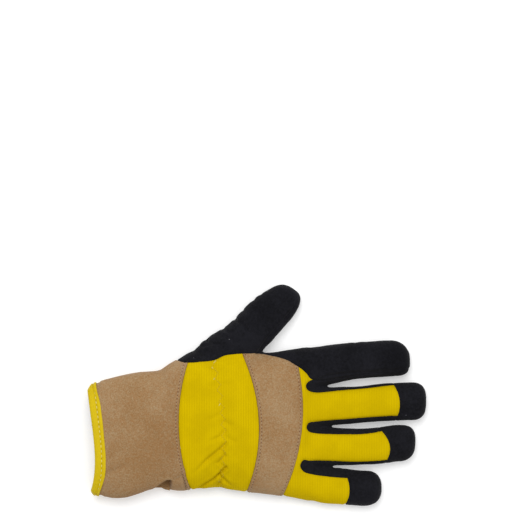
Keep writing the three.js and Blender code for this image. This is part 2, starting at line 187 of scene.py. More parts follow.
def hem_corner(across):
    """How far the fold of the tape is turned in at the two side edges of the cuff."""
    return HEM_CORNER * smoothstep(np.abs(across), *CORNER_REACH)


def end_shift(x):
    """How far points move along x to follow the bowed hem, and the webs between the fingers."""
    fade = 1 - smoothstep(x, *HEM_FADE)
    webs = smoothstep(x, *WEB_FADE)
    return lambda across, rise: (fade * hem_line(across, smoothstep(-rise, *PALM_SIDE))
                                 + webs * np.polynomial.polynomial.polyval(across, WEB_CURVE))


def body_ring(x, inset=0.0, count=120):
    _, thumb_side, little_side, crown, under = row_at(BODY, x)
    return section_ring((x, thumb_side), (x, little_side), crown, max(0.0, under), PRESSED_BODY,
                        inset, count, end_shift(x))


print("the hem bows by", round(float(np.ptp(hem_line(np.linspace(-1, 1, 41), 0))), 1), "mm")

# %% [markdown]
# A gloved finger is a tube that ends in a blunt cap, and each one is a little squarer on one side. The
# thumb lies at an angle, so its sections are given by both of their ends in plan. A tube through rings
# serves all five, and only the way in which the rings close at the tip differs.

# %% Rings of the fingers and thumb
PRESSED_FINGER = 1.25
THUMB_SPACING = 0.12
FINGER_SPACING = 2.0
FINGER_POINTS = 72
TIP_RINGS = 12
TIP_CROWN = (0.3, 0.35)  # the least share of the crown at a fingertip, and what each side adds


def finger_rings(tip, squareness, rows):
    root, shoulder = rows[0][0], rows[-1][0]
    straight = [(x, 1.0, 1.0) for x in np.arange(root, shoulder, FINGER_SPACING)]
    shares = np.sin(np.linspace(0, math.pi / 2, TIP_RINGS))[:-1]
    rounded = [(shoulder + (tip - shoulder) * s, *[(1 - s**n) ** (1 / n) for n in squareness])
               for s in shares]
    rings = []
    for x, outer, inner in straight + rounded:
        _, centre, half, crown = row_at(rows, min(x, shoulder))
        crown *= TIP_CROWN[0] + TIP_CROWN[1] * (outer + inner)
        rings.append(section_ring((x, centre + half * outer), (x, centre - half * inner), crown, 0.0,
                                  PRESSED_FINGER, count=FINGER_POINTS))
    return rings


def thumb_rings():
    rings = []
    for station in np.arange(0, len(THUMB) - 1 + THUMB_SPACING / 2, THUMB_SPACING):
        _, outer_x, outer_y, inner_x, inner_y, crown = row_at(THUMB, station)
        rings.append(section_ring((outer_x, outer_y), (inner_x, inner_y), crown, 0.0, PRESSED_FINGER,
                                  count=FINGER_POINTS))
    return rings


print("form: palm", BODY[-1][0] - HEM_X, "mm long, longest finger to", FINGERS["middle"][0])

# %% [markdown]
# The palm, thumb and fingers are separate lofts that run into each other. A voxel remesh turns them into
# one skin of even little squares, which is the quick way to get a true union with no inner walls. A
# boolean would keep the long thin faces of the lofts, on which no fold could be drawn later.

# %% Fuse the form
VOXEL = 0.85
BODY_SPACING = 1.8


def tube_faces(index):
    """Quads between the rows of a grid of point numbers. Each row closes on itself."""
    after = np.roll(index, -1, axis=1)
    return np.stack([index[:-1], after[:-1], after[1:], index[1:]], axis=-1).reshape(-1, 4)


def loft(rings):
    """Points and faces of a tube through rings of equal count, closed at both ends."""
    index = np.arange(len(rings) * len(rings[0])).reshape(len(rings), -1)
    points = np.vstack(rings + [rings[0].mean(0), rings[-1].mean(0)])
    faces = tube_faces(index).tolist()
    for centre, ring in ((index.size, index[0, ::-1]), (index.size + 1, index[-1])):
        faces += [(centre, a, b) for a, b in zip(ring, np.roll(ring, -1))]
    return points, faces


def raw_mesh(name, points, faces):
    mesh = bpy.data.meshes.new(name)
    mesh.from_pydata((np.asarray(points) * MM).tolist(), [], [tuple(map(int, f)) for f in faces])
    mesh.update()
    return mesh


def add_object(name, data):
    thing = bpy.data.objects.new(name, data)
    bpy.context.collection.objects.link(thing)
    return thing


def read(items, field, kind=float, width=3):
    """One value of all points, faces or loops, as an array with a row for each."""
    values = np.empty(len(items) * width, dtype=kind)
    items.foreach_get(field, values)
    return values.reshape(-1, width)


def fused(lofts, voxel):
    """One skin round all lofts, as points in millimetres and triangles."""
    points, faces, start = [], [], 0
    for part_points, part_faces in lofts:
        points.append(part_points)
        faces += [tuple(i + start for i in face) for face in part_faces]
        start += len(part_points)
    source = add_object("form", raw_mesh("form", np.vstack(points), faces))
    remesh = source.modifiers.new("union", "REMESH")
    remesh.mode = "VOXEL"
    remesh.voxel_size = voxel * MM
    source.modifiers.new("triangles", "TRIANGULATE")
    result = bpy.data.meshes.new_from_object(source.evaluated_get(bpy.context.evaluated_depsgraph_get()))
    bpy.data.objects.remove(source)
    return read(result.vertices, "co") / MM, read(result.polygons, "vertices", int)


body_loft = loft([body_ring(x) for x in np.arange(BODY[0][0], BODY[-1][0] + 1, BODY_SPACING)])
lofts = [body_loft, loft(thumb_rings())] + [loft(finger_rings(*FINGERS[name])) for name in FINGERS]
skin, skin_tris = fused(lofts, VOXEL)
print("skin:", len(skin), "points,", len(skin_tris), "triangles")

# %% [markdown]
# The new skin has the stair steps of its squares, and sharp creases at the finger roots, where cloth
# could never hold one. Both are relaxed: each point moves towards the middle of its neighbours, a few
# times everywhere and more often near the roots.

# %% Relax the skin
RELAX_STEP = 0.5
SKIN_ROUNDS = 8
ROOT_ROUNDS = 24
ROOTS_START = (12, 30)  # where the extra rounds at the finger roots set in, end, and fade towards the table
ROOTS_END = (58, 72)
ROOTS_HEIGHT = (7.5, 12.5)


def sides(tris):
    """All edges of all triangles, in the direction in which each triangle runs."""
    return np.vstack([tris[:, [0, 1]], tris[:, [1, 2]], tris[:, [2, 0]]])


def relax(points, tris, rounds, share=1.0):
    """Moves points towards the middle of their neighbours, all alike or each by its own share."""
    edges = sides(tris)
    count = np.bincount(edges.ravel(), minlength=len(points))
    weight = RELAX_STEP * np.broadcast_to(share, len(points))[:, None]
    for _ in range(rounds):
        total = np.column_stack([
            np.bincount(edges[:, 0], points[edges[:, 1], k], len(points))
            + np.bincount(edges[:, 1], points[edges[:, 0], k], len(points)) for k in range(3)])
        points = points + weight * (total / count[:, None] - points)
    return points


stepped = skin
skin = relax(skin, skin_tris, SKIN_ROUNDS)
past_knuckles = smoothstep(skin[:, 0], *ROOTS_START) * (1 - smoothstep(skin[:, 0], *ROOTS_END))
skin = relax(skin, skin_tris, ROOT_ROUNDS, past_knuckles * smoothstep(skin[:, 2], *ROOTS_HEIGHT))
skin[:, 2] = np.maximum(skin[:, 2], 0.0)
print("relaxed by up to", round(float(np.abs(skin - stepped).max()), 1), "mm")

# %% [markdown]
# Folds and creases are what make leather look handled. Each one here is a line drawn on the form: the
# skin sinks along it and swells a little beside it. Where a line starts outside the outline it notches the
# silhouette too, as the thumb's folds do. Sculpting by hand would give the same forms, but a table of lines
# can be read, moved and repeated.

# %% Lines of the folds
GATHER_X = -25.0
GATHER_Y = -33.0
GATHER_CURVE = 0.0024


def gather_x(y):
    """The elastic's line across the back of the hand."""
    return GATHER_X - GATHER_CURVE * (y - GATHER_Y) ** 2


GATHER_FOLDS = [  # depth, width, lip, then the line
    (1.3, 1.2, 0.6, [(-22.6, -34), (-23.8, -36.5), (-27.7, -40.7), (-33.1, -45), (-38.2, -49.2),
                     (-44.3, -55.7), (-51, -62)]),
    (1.7, 0.85, 0.6, [(-22.6, -52.5), (-23.9, -55), (-29.2, -60.5), (-34.3, -64.4), (-39.3, -67.5),
                      (-46, -72), (-53, -77), (-60, -82)]),
    (0.7, 1.1, 0.3, [(-23.6, -24), (-24.4, -26.5), (-27.7, -30.6), (-33.5, -33.5), (-38, -36)]),
    (0.7, 1.0, 0.3, [(-24.3, -45), (-25.4, -47.3), (-28.4, -50.2), (-32, -51.5)]),
    (0.6, 1.0, 0.3, [(-29, -49.6), (-27.8, -51.6), (-24, -54.6), (-20, -56.4)]),
    (0.5, 1.0, 0.3, [(-28.6, -40), (-26.8, -42.4), (-24.2, -45.4), (-20.5, -47.5)]),
    (1.2, 1.0, 0.5, [(-30.0, -60.0), (-28.2, -61.2), (-25.3, -64), (-21.1, -67.5), (-18, -70)]),
    (1.0, 0.8, 0.4, [(-25.4, -64.4), (-27.4, -66.4), (-30.2, -68.8), (-33, -71.5)]),
    (0.5, 1.6, 0.2, [(-27, -12), (-30, -15), (-36, -18), (-43, -19)]),
    (0.5, 1.6, 0.2, [(-26, -18), (-22, -21), (-15, -23.5)]),
    (0.5, 1.6, 0.2, [(-24, -30), (-20, -33), (-13, -36)]),
    (0.6, 1.6, 0.2, [(-30.5, 20.5), (-35, 22.5), (-42, 22.6), (-48, 21)]),
    (0.4, 1.5, 0.2, [(-29, 9), (-34, 7.5), (-41, 8.2)]),
    (0.4, 1.5, 0.2, [(-28.5, 11), (-23, 8.5), (-15, 9)]),
    (1.4, 0.7, 0.2, [(-52.4, -78), (-53.4, -72.4), (-54.8, -65.7), (-56.2, -60.2), (-56.9, -57)]),
]
BACK_CREASES = [  # depth, width, lip, then the line
    (1.3, 1.3, 0.2, [(-42, 46.5), (-38.6, 42.4), (-36, 40.6), (-33, 39.6)]),
    (0.7, 1.5, 0.2, [(-31, 46.5), (-25.4, 45), (-19, 42.8), (-12.5, 39.2), (-2.3, 32.8)]),
    (0.5, 1.3, 0.2, [(-48, 41), (-43.4, 37.3), (-34.4, 39.2), (-24.1, 37.3), (-15.1, 33.4)]),
    (1.1, 1.5, 0.1, [(-29, 54.5), (-25.5, 50), (-20.3, 47.6), (-14, 45)]),
    (1.7, 1.4, 0.1, [(-19.4, 61), (-16, 57.0), (-11.2, 54.6), (-7.4, 49.6), (-6.2, 43.1)]),
    (0.9, 1.5, 0.1, [(-14, 68), (-10.5, 64), (-6, 60.5)]),
    (0.8, 1.8, 0.1, [(-5.5, 75), (-2, 71), (0.5, 63.7), (1.6, 54.6)]),
    (0.5, 1.4, 0.1, [(0.5, 80), (3, 76), (7, 72)]),
    (0.5, 1.6, 0.2, [(48, 34), (50, 30), (52, 25)]),
    (0.4, 1.6, 0.2, [(74, 42), (76, 35), (77, 28)]),
    (0.6, 1.5, 0.3, [(-62, -64), (-57, -60), (-55, -50)]),
    (0.7, 2.4, 0.4, [(-120, -60), (-108, -57), (-97, -50)]),
    (0.6, 3.0, 0.4, [(-78, 22), (-72, 14), (-70, 2)]),
]
SEAM_GROOVES = [  # black seams with no stitching to be seen
    (0.8, 0.9, 0.3, [(-4, 27), (1.0, 32.6), (6.9, 41.3), (17.6, 53.9), (26, 63.7), (29, 69), (33, 80)]),
    (0.7, 0.9, 0.25, [(50, 11.5), (51.7, 14.1), (64.6, 16.1), (90.4, 18.0), (114.8, 19.9), (124, 20.6)]),
]
PALM_CREASES = [
    (1.6, 1.6, 0.6, [(-26, 54), (-14, 46.2), (-7.2, 40.2), (-3.2, 34.0), (2, 30)]),
    (1.3, 2.2, 0.6, [(3, 27), (8, 18.8), (16, 8), (26.3, -4)]),
    (1.5, 1.5, 0.5, [(27, 37), (31.7, 22.8), (39.7, 8)]),
    (0.7, 1.5, 0.3, [(57, 38), (58, 28), (58, 18)]),
    (0.7, 1.5, 0.3, [(75.5, 41), (77, 30), (77.5, 22)]),
    (1.5, 1.7, 0.6, [(27, -48), (22.5, -60), (22, -72)]),
    (0.6, 1.8, 0.3, [(11.5, -45), (11.0, -62)]),
    (0.7, 1.8, 0.3, [(39.7, 0), (41, -18), (40.4, -36), (38, -50)]),
    (0.6, 1.6, 0.3, [(-4, 76), (2, 66), (9, 58)]),
]
print("fold lines:", len(GATHER_FOLDS), "in the gather,", len(BACK_CREASES), "on the back,",
      len(PALM_CREASES), "on the palm")

# %% [markdown]
# A pen line on the form would be a few straight strokes, so a smooth curve is led through its corners
# first. Then every point of the skin is told how far it lies from the curve, and sinks by a bell of that
# distance. The ends fade out, since a fold in leather runs out and never stops dead.

# %% A fold from a line
CREASE_ENDS = (-0.05, 0.2, 0.6, 1.0)  # shares of its length between which a crease fades in, then out
CREASE_REACH = 6  # in widths of the crease: beyond this it does nothing
LIP_PLACE = 2.6  # in widths too
LIP_WIDTH = 1.5


def smooth_line(corners, steps=8):
    """A Catmull-Rom curve through a few corners."""
    corners = np.array(corners, float)
    padded = np.vstack([2 * corners[0] - corners[1], corners, 2 * corners[-1] - corners[-2]])
    t = np.linspace(0, 1, steps, endpoint=False)[:, None]
    parts = []
    for a, b, c, d in zip(padded, padded[1:], padded[2:], padded[3:]):
        parts.append(0.5 * (2 * b + (c - a) * t + (2 * a - 5 * b + 4 * c - d) * t**2
                            + (3 * b - a - 3 * c + d) * t**3))
    return np.vstack(parts + [corners[-1:]])


def line_distance(places, line):
    """Distance in plan from each place to a line, and the nearest point's share of its length, 0 to 1."""
    best = np.full(len(places), np.inf)
    share = np.zeros(len(places))
    for i, (a, b) in enumerate(zip(line, line[1:])):
        t = np.clip((places - a) @ (b - a) / max(1e-9, (b - a) @ (b - a)), 0, 1)
        away = np.linalg.norm(places - a - t[:, None] * (b - a), axis=1)
        nearer = away < best
        best[nearer] = away[nearer]
        share[nearer] = (i + t[nearer]) / (len(line) - 1)
    return best, share


def crease_depth(places, depth, width, lip, line):
    line = smooth_line(line)
    low, high = line.min(0) - CREASE_REACH * width, line.max(0) + CREASE_REACH * width
    near = np.all((places > low) & (places < high), axis=1)
    away, share = line_distance(places[near], line)
    ends = smoothstep(share, *CREASE_ENDS[:2]) * (1 - smoothstep(share, *CREASE_ENDS[2:]))
    sunk = depth * bell(away, width) - lip * bell(away - LIP_PLACE * width, LIP_WIDTH * width)
    result = np.zeros(len(places))
    result[near] = sunk * ends
    return result


print("at the line and beside it:",
      crease_depth(np.array([(0.0, 0.0), (0.0, LIP_PLACE)]), 1.0, 1.0, 0.3, [(-9, 0), (9, 0)]).round(2))

# %% [markdown]
# Each fold only acts on its own side of the glove, which the skin's normals tell. The elastic draws the
# knit in along its whole width, so it gets a channel besides its folds. The depths are only added up
# here: they are applied in one move at the end, so that crossing folds don't push each other about.

# %% Depths of the folds
GATHER_DIPS = [(1.2, 4.5), (0.3, 1.4)]  # depth and width of the channel that the elastic draws in
GATHER_SIDE = (7, 13)  # heights over which the gather's folds fade in above the palm seam
FACES_UP = (-0.35, 0.15)  # how much a normal must point up for the back's creases to set in, or down
FACES_DOWN = (0.2, 0.8)


def at_corners(tris, values, count):
    """Adds the value of each triangle to its three corner points."""
    return np.column_stack([
        sum(np.bincount(tris[:, corner], values[:, k], count) for corner in range(3)) for k in range(3)])


def point_normals(points, tris):
    a, b, c = (points[tris[:, corner]] for corner in range(3))
    return unit(at_corners(tris, np.cross(b - a, c - a), len(points)))


normals = point_normals(skin, skin_tris)
places = skin[:, :2]
up = smoothstep(normals[:, 2], *FACES_UP)
down = smoothstep(-normals[:, 2], *FACES_DOWN)
from_elastic = np.abs(skin[:, 0] - gather_x(skin[:, 1]))
sunk = sum(depth * bell(from_elastic, width) for depth, width in GATHER_DIPS) * up
for row in GATHER_FOLDS:
    sunk += crease_depth(places, *row) * up * smoothstep(skin[:, 2], *GATHER_SIDE)
for row in BACK_CREASES + SEAM_GROOVES:
    sunk += crease_depth(places, *row) * up
for row in PALM_CREASES:
    sunk += crease_depth(places, *row) * down
print("folds:", len(GATHER_FOLDS + BACK_CREASES + PALM_CREASES), "deepest", round(sunk.max(), 2), "mm")

# %% [markdown]
# On its little-finger side the cuff is tucked in under a short slanting edge, which leaves a small dark
# pocket. A crease is too shallow for that, so the skin below the edge is pushed in and down to a floor just
# above the palm seam. The edge itself swells a little. Then only this spot is relaxed, so no teeth show.

# %% Pocket in the cuff
POCKET_RIM = [(-80.5, -71.6), (-76.9, -69.4), (-73.0, -66.7), (-69.1, -64.3), (-66.0, -63.5), (-63.8, -64.6)]
POCKET_START = (-80.2, -77.4)
POCKET_END = (-66.2, -63.7)
POCKET_WALL = (0.0, 1.2)  # distances from the rim between which the wall drops, and the floor ends
POCKET_REACH = (7, 10)
POCKET_FLOOR = 7.6
POCKET_TUCK = (4.5, 3.0)  # how far it is pushed in, and over what distance
RIM_SWELL = (0.9, 0.5)  # outward and upward
RIM_WIDTH = 1.8
SMOOTHED = (5, 2.2)  # rounds, and over what distance from the rim
SEAM_CLEAR = (6.6, 9.2)  # heights over which the pocket and the tuck set in
EDGE_CLEAR = (8.6, 12.0)

rim_line = smooth_line(POCKET_RIM)
below_rim = places[:, 1] < np.interp(places[:, 0], rim_line[:, 0], rim_line[:, 1])
away, _ = line_distance(places, rim_line)
near_pocket = smoothstep(places[:, 0], *POCKET_START) * (1 - smoothstep(places[:, 0], *POCKET_END))
near_pocket = near_pocket * smoothstep(skin[:, 2], *SEAM_CLEAR)
pocket = below_rim * smoothstep(away, *POCKET_WALL) * (1 - smoothstep(away, *POCKET_REACH)) * near_pocket
rim = np.where(below_rim, 0, bell(away, RIM_WIDTH)) * near_pocket
pushed_in = POCKET_TUCK[0] * pocket * bell(away, POCKET_TUCK[1]) - RIM_SWELL[0] * rim
skin[:, 1] += pushed_in * smoothstep(skin[:, 2], *EDGE_CLEAR)
skin[:, 2] += pocket * (POCKET_FLOOR - skin[:, 2]) + RIM_SWELL[1] * rim
skin = relax(skin, skin_tris, SMOOTHED[0], bell(away, SMOOTHED[1]) * near_pocket)
print("pocket:", int((pocket > 0.5).sum()), "points pushed in")

# %% [markdown]
# No stretch of a worn glove is quite even. Besides its folds, the skin gets a soft swelling from slow
# noise at two sizes. Both are applied along the normals, and what would sink through the table rests on it.

# %% Move the skin
LUMPS = (0.38, 19, 1)  # height, size and seed of the large soft swellings
SMALL_LUMPS = (0.16, 7, 2)
SEED_STEPS = (7.3, 3.1, 5.7)


def waves(points, size, seed):
    """Gentle uneven swelling, between about -1 and 1, with lumps of the given size."""
    offset = Vector([seed * step for step in SEED_STEPS])
    return np.array([noise.noise(Vector(p) / size + offset) for p in points])


def swelling(points, *rows):
    """The sum of a few waves, each given as height, size and seed."""
    return sum(height * waves(points, size, seed) for height, size, seed in rows)


skin = skin - normals * (sunk + swelling(skin, LUMPS, SMALL_LUMPS))[:, None]
skin[:, 2] = np.maximum(skin[:, 2], 0.0)
print("glove:", np.ptp(skin, axis=0).round(1), "mm with the length that is cut off at the hem")

# %% [markdown]
# A real glove's seams are where its flat pieces were sewn together. Here each one is a line in plan, and
# a function tells how far any point lies from it: less than zero on one side, more on the other. Seams
# across the hand are shallow bows, the two long ones are curves, and caps and side strips are outlines.

# %% Seam lines
SEAM_MIDDLE = -24.0
SEAM_UNIT = 50.0
CROSS_SEAMS = {  # x at the middle, lean, bow
    "wrist": (-59.1, -1.5, 8.2), "palm_wrist": (-61.2, -7.0, 6.1),
    "strap_rear": (1.7, -0.4, -9.9), "strap_front": (34.3, 4.8, -8.8),
}
THUMB_SEAM = [(-74, 34), (-64.0, 28.6), (-60.6, 26.9), (-57.6, 25.8), (-54.6, 25.2), (-51.0, 25.3),
              (-43.7, 25.8), (-34.3, 26.8), (-29.3, 28.2), (-24.2, 30.3), (-17.7, 31.2), (-11.9, 31.5),
              (-4, 31.6), (1, 31.6), (4, 32.6), (14, 40.5)]
THUMB_REST = [(34, 52), (70, 60), (70, 110), (-90, 110)]  # past the outline, where nothing is cut
INDEX_SEAM = [(-3, 38), (1, 32.4), (5.4, 31.2), (14.5, 29.5), (18.6, 28.4), (23.2, 26.8), (26.9, 24.6),
              (31.4, 21.8), (35.1, 19.0), (37.9, 16.2), (41.5, 12.1), (50, 11.2), (81, 15.8),
              (98, 17.0), (108, 13.0), (116, 11.6), (130, 11.6)]
INDEX_REST = [(150, 11.6), (150, 60), (-2, 60)]
CAPS = {  # x at the middle, lean, bow
    "middle": (108.1, -1.0, 3.9), "ring": (100.4, -3.2, 5.8), "little": (70.1, -0.8, 3.8),
}
CAP_OVERHANG = (1.2, 9)  # how far a cap's outline runs past the finger's sides and tip
ARM_START = 8  # how far past its round end the arms of a side strip begin
ROUND_END = (0.5, 0.85)  # the round end's corners, in radii along and across
FOURCHETTES = {  # each finger with the widths on it from root to tip, then round end (x, y, radius), far end
    "index_fourchette": ("index", (7.0, 7.0, 7.0, 7.0, 7.0), "middle", (3.2, 1.6, 0.9, 0.8, 0.7),
                         (37.4, 7.0, 3.7), 120),
    "middle_fourchette": ("middle", (4.4, 3.9, 3.4, 3.4, 3.4), "ring", (5.0, 3.9, 3.2, 2.2, 2.0),
                          (38.0, -24.0, 3.9), 118),
    "ring_fourchette": ("ring", (5.0, 3.4, 2.0, 1.9, 1.6), "little", (6.0, 6.2, 6.0, 6.0, 6.0),
                        (33.0, -53.2, 5.0), 106),
}


def cross_field(name):
    """Signed distance to a seam across the hand: negative on the cuff's side."""
    at, lean, bow = CROSS_SEAMS[name]

    def field(points):
        s = (points[:, 1] - SEAM_MIDDLE) / SEAM_UNIT
        slope = (lean + 2 * bow * s) / SEAM_UNIT
        return (points[:, 0] - at - lean * s - bow * s * s) / np.sqrt(1 + slope**2)
    return field


def region_field(outline):
    """Signed distance in plan to a closed outline: negative inside."""
    outline = np.array(outline, float)
    closed = np.vstack([outline, outline[:1]])

    def field(points):
        places = points[:, :2]
        away, _ = line_distance(places, closed)
        inside = np.zeros(len(places), bool)
        for (x0, y0), (x1, y1) in zip(closed, closed[1:]):
            spans = (y0 > places[:, 1]) != (y1 > places[:, 1])
            crossing = x0 + (places[:, 1] - y0) * (x1 - x0) / (y1 - y0 + 1e-12)
            inside ^= spans & (places[:, 0] < crossing)
        return np.where(inside, -away, away)
    return field


def cap_outline(name):
    at, lean, bow = CAPS[name]
    tip, _, rows = FINGERS[name]
    _, centre, half, _ = row_at(rows, at)
    past, end = half + CAP_OVERHANG[0], tip + CAP_OVERHANG[1]
    across = np.linspace(1, -1, 9) * past / half
    seam = [(at + lean * s - bow * s * s, centre + half * s) for s in across]
    return seam + [(end, centre - past), (end, centre + past)]


def fourchette_outline(name):
    """The two arms of a side strip, joined by a round end on the back of the hand."""
    upper, upper_widths, lower, lower_widths, (start, crotch, radius), end = FOURCHETTES[name]
    stations = np.linspace(start + ARM_START, end, len(upper_widths))

    def arm(finger, side, widths):
        rows = [row_at(FINGERS[finger][2], x) for x in stations]
        return [(x, row[1] + side * (row[2] - width)) for x, row, width in zip(stations, rows, widths)]

    along, across = np.array(ROUND_END) * radius
    turn = [(start + along, crotch + across), (start, crotch), (start + along, crotch - across)]
    return smooth_line(arm(upper, -1, upper_widths)[::-1] + turn + arm(lower, 1, lower_widths))


print("seams:", len(CROSS_SEAMS), "across, 2 along,", len(CAPS), "caps,", len(FOURCHETTES), "side strips")

# %% [markdown]
# To cut the skin exactly along a seam, points that almost touch it are slid onto it, and each triangle
# that still crosses zero is split there. That leaves clean edges without a boolean, so two panels meet
# along one smooth line and share its points.

# %% Cut along a seam
CUT_REACH = 0.3 * VOXEL  # points nearer to a seam than this are slid onto it
SLOPE_STEP = 0.05
STEEP = 0.2  # points where a seam's field is flatter than this along the skin aren't slid


def split_along(points, tris, tags, values, tag):
    """Splits the triangles of one tag where values change sign."""
    signs = np.sign(values)[tris]
    signs[tags != tag] = 0
    lone, zero = [], []
    for k in range(3):
        here, after, before = signs[:, k], signs[:, (k + 1) % 3], signs[:, (k + 2) % 3]
        lone.append(np.where((here * after < 0) & (here * before < 0))[0])
        zero.append(np.where((here == 0) & (after * before < 0))[0])
    alone, flat = (np.vstack([np.roll(tris[rows], -k, axis=1) for k, rows in enumerate(groups)])
                   for groups in (lone, zero))
    pairs = np.sort(np.vstack([alone[:, [0, 1]], alone[:, [0, 2]], flat[:, [1, 2]]]), axis=1)
    unique, new = np.unique(pairs, axis=0, return_inverse=True)
    new = new.ravel() + len(points)
    weight = np.abs(values[unique])
    weight = weight / weight.sum(1, keepdims=True)
    middle = points[unique[:, 0]] * weight[:, [1]] + points[unique[:, 1]] * weight[:, [0]]
    count = len(alone)
    first, second, third = new[:count], new[count:2 * count], new[2 * count:]
    kept = np.ones(len(tris), bool)
    kept[np.concatenate(lone + zero)] = False
    pieces = [
        tris[kept],
        np.column_stack([alone[:, 0], first, second]), np.column_stack([first, alone[:, 1], alone[:, 2]]),
        np.column_stack([first, alone[:, 2], second]),
        np.column_stack([flat[:, 0], flat[:, 1], third]), np.column_stack([flat[:, 0], third, flat[:, 2]]),
    ]
    new_tags = np.concatenate([tags[kept], np.full(sum(map(len, pieces[1:])), tag, dtype=tags.dtype)])
    return (np.vstack([points, middle]), np.vstack(pieces), new_tags,
            np.concatenate([values, np.zeros(len(middle))]))


def slide_to_seam(points, normals, field, reach):
    """Slides the points nearest to a seam onto it, along the skin."""
    values = field(points)
    near = np.where(np.abs(values) < reach)[0]
    slope = np.column_stack([
        (field(points[near] + step) - field(points[near] - step)) / (2 * SLOPE_STEP)
        for step in SLOPE_STEP * np.eye(3)])
    slope -= normals[near] * np.sum(slope * normals[near], axis=1)[:, None]
    steep = np.sum(slope**2, axis=1)
    good = steep > STEEP
    moved = near[good]
    points[moved] -= slope[good] * (values[moved] / steep[good])[:, None]
    values[moved] = 0.0
    return values


def cut(field, tag, inside):
    """Cuts the panel called tag. What lies on the field's negative side becomes the panel called inside."""
    global skin, skin_tris, tags
    values = slide_to_seam(skin, point_normals(skin, skin_tris), field, CUT_REACH)
    skin, skin_tris, tags, values = split_along(skin, skin_tris, tags, values, tag)
    found = (tags == tag) & (values[skin_tris].min(1) < -1e-6)
    tags[found] = inside


tags = np.full(len(skin_tris), "finger_back", dtype="<U20")
print("uncut:", len(tags), "triangles")

# %% [markdown]
# The panels are cut one after another from what is left of the back, as from one hide. The hem comes last
# and goes right round, and what lies past it is an offcut that no panel uses.

# %% Cut the panels
PALM_SEAM_HEIGHT = 5.5
HEM_SIDE = (9.6, 3.8)  # heights between which the hem changes from its back line to its palm line
HEM_CENTRE = -34.2
HEM_HALF = 40.8


def hem_share(points):
    """Where points are across the cuff, from -1 to 1."""
    return np.clip((points[:, 1] - HEM_CENTRE) / HEM_HALF, -1, 1)


def hem_field(points):
    """Signed distance to the bowed hem: negative outside the cuff."""
    across = hem_share(points)
    low = smoothstep(points[:, 2], *HEM_SIDE)
    return points[:, 0] - HEM_X - hem_line(across, low) - hem_corner(across)


cut(lambda points: points[:, 2] - PALM_SEAM_HEIGHT, "finger_back", "palm")
cut(cross_field("palm_wrist"), "palm", "cuff_palm")
cut(region_field(np.vstack([smooth_line(THUMB_SEAM), THUMB_REST])), "finger_back", "thumb_back")
cut(region_field(np.vstack([smooth_line(INDEX_SEAM), INDEX_REST])), "finger_back", "index_back")
cut(cross_field("wrist"), "finger_back", "cuff_back")
cut(cross_field("strap_rear"), "finger_back", "hand_back")
cut(cross_field("strap_front"), "finger_back", "knuckle_strap")
for name in CAPS:
    cut(region_field(cap_outline(name)), "finger_back", name + "_fingertip")
for name in FOURCHETTES:
    cut(region_field(fourchette_outline(name)), "finger_back", name)
cut(hem_field, "cuff_back", "offcut")
cut(hem_field, "cuff_palm", "offcut")
print("panels:", {str(tag): int((tags == tag).sum()) for tag in np.unique(tags)})

# %% [markdown]
# A finish is built from small node groups, one for each effect: the nap of suede, mottling, lint, the ribs
# of a knit and the threads of a woven tape. Each group is made once, with named inputs, and every material
# that needs the effect places it with its own sizes. Only the pattern comes out of a group. The shader
# stays in the material, and numbers that are the same all over the surface stay on the shader's sockets.

# %% Node helpers
def feed(tree, socket, value):
    """Links the socket to another one, or sets it to a plain value."""
    if isinstance(value, bpy.types.NodeSocket):
        tree.links.new(value, socket)
    else:
        socket.default_value = value


def add_node(tree, kind, inputs=None, **settings):
    node = tree.nodes.new("ShaderNode" + kind)
    for key, value in settings.items():
        setattr(node, key, value)
    for key, value in (inputs or {}).items():
        feed(tree, node.inputs[key], value)
    return node


def math_node(tree, operation, *values):
    return add_node(tree, "Math", dict(enumerate(values)), operation=operation).outputs[0]


def plus(tree, first, second):
    return math_node(tree, "ADD", first, second)


def times(tree, first, second):
    return math_node(tree, "MULTIPLY", first, second)


def weighted(tree, first, share, second):
    """The first value for its share, and the second for the rest."""
    return plus(tree, times(tree, first, share), times(tree, second, 1 - share))


def remap(tree, value, low, high, new_low=0.0, new_high=1.0):
    ends = {"Value": value, "From Min": low, "From Max": high, "To Min": new_low, "To Max": new_high}
    return add_node(tree, "MapRange", ends, interpolation_type="SMOOTHSTEP").outputs["Result"]


def noise_mask(tree, vector, scale, detail=2.0, roughness=0.5, distortion=0.0):
    return add_node(tree, "TexNoise", {"Vector": vector, "Scale": scale, "Detail": detail,
                                       "Roughness": roughness, "Distortion": distortion}).outputs["Fac"]


def blend(tree, factor, first, second):
    return add_node(tree, "Mix", {0: factor, 6: first, 7: second}, data_type="RGBA").outputs[2]


def place_group(tree, group, inputs):
    return add_node(tree, "Group", inputs, node_tree=group).outputs


def node_group(name, inputs, outputs, build):
    """A group with float inputs after its Vector. build returns the output sockets in order."""
    tree = bpy.data.node_groups.new(name, "ShaderNodeTree")
    tree.interface.new_socket("Vector", in_out="INPUT", socket_type="NodeSocketVector")
    for socket_name, default in inputs:
        made_socket = tree.interface.new_socket(socket_name, in_out="INPUT", socket_type="NodeSocketFloat")
        made_socket.default_value = default
    for socket_name in outputs:
        tree.interface.new_socket(socket_name, in_out="OUTPUT", socket_type="NodeSocketFloat")
    given = tree.nodes.new("NodeGroupInput")
    result = tree.nodes.new("NodeGroupOutput")
    for socket, value in zip(result.inputs, build(tree, *given.outputs[:-1])):
        tree.links.new(value, socket)
    return tree


print("node helpers ready in Blender", bpy.app.version_string)

# %% [markdown]
# Suede is leather with its fibres brushed up. Close up it is a felt of short fibres; from a step back it
# is blotched, because brushed patches lean different ways and catch the light differently. So the nap group
# gives a fine height for the bump, and the mottle group gives slow patches at two sizes for the colour. Lint
# is a dot in a few cells of a random mesh, bent out of round.

# %% Effects of suede
MOTTLE_CONTRAST = (0.36, 0.64)


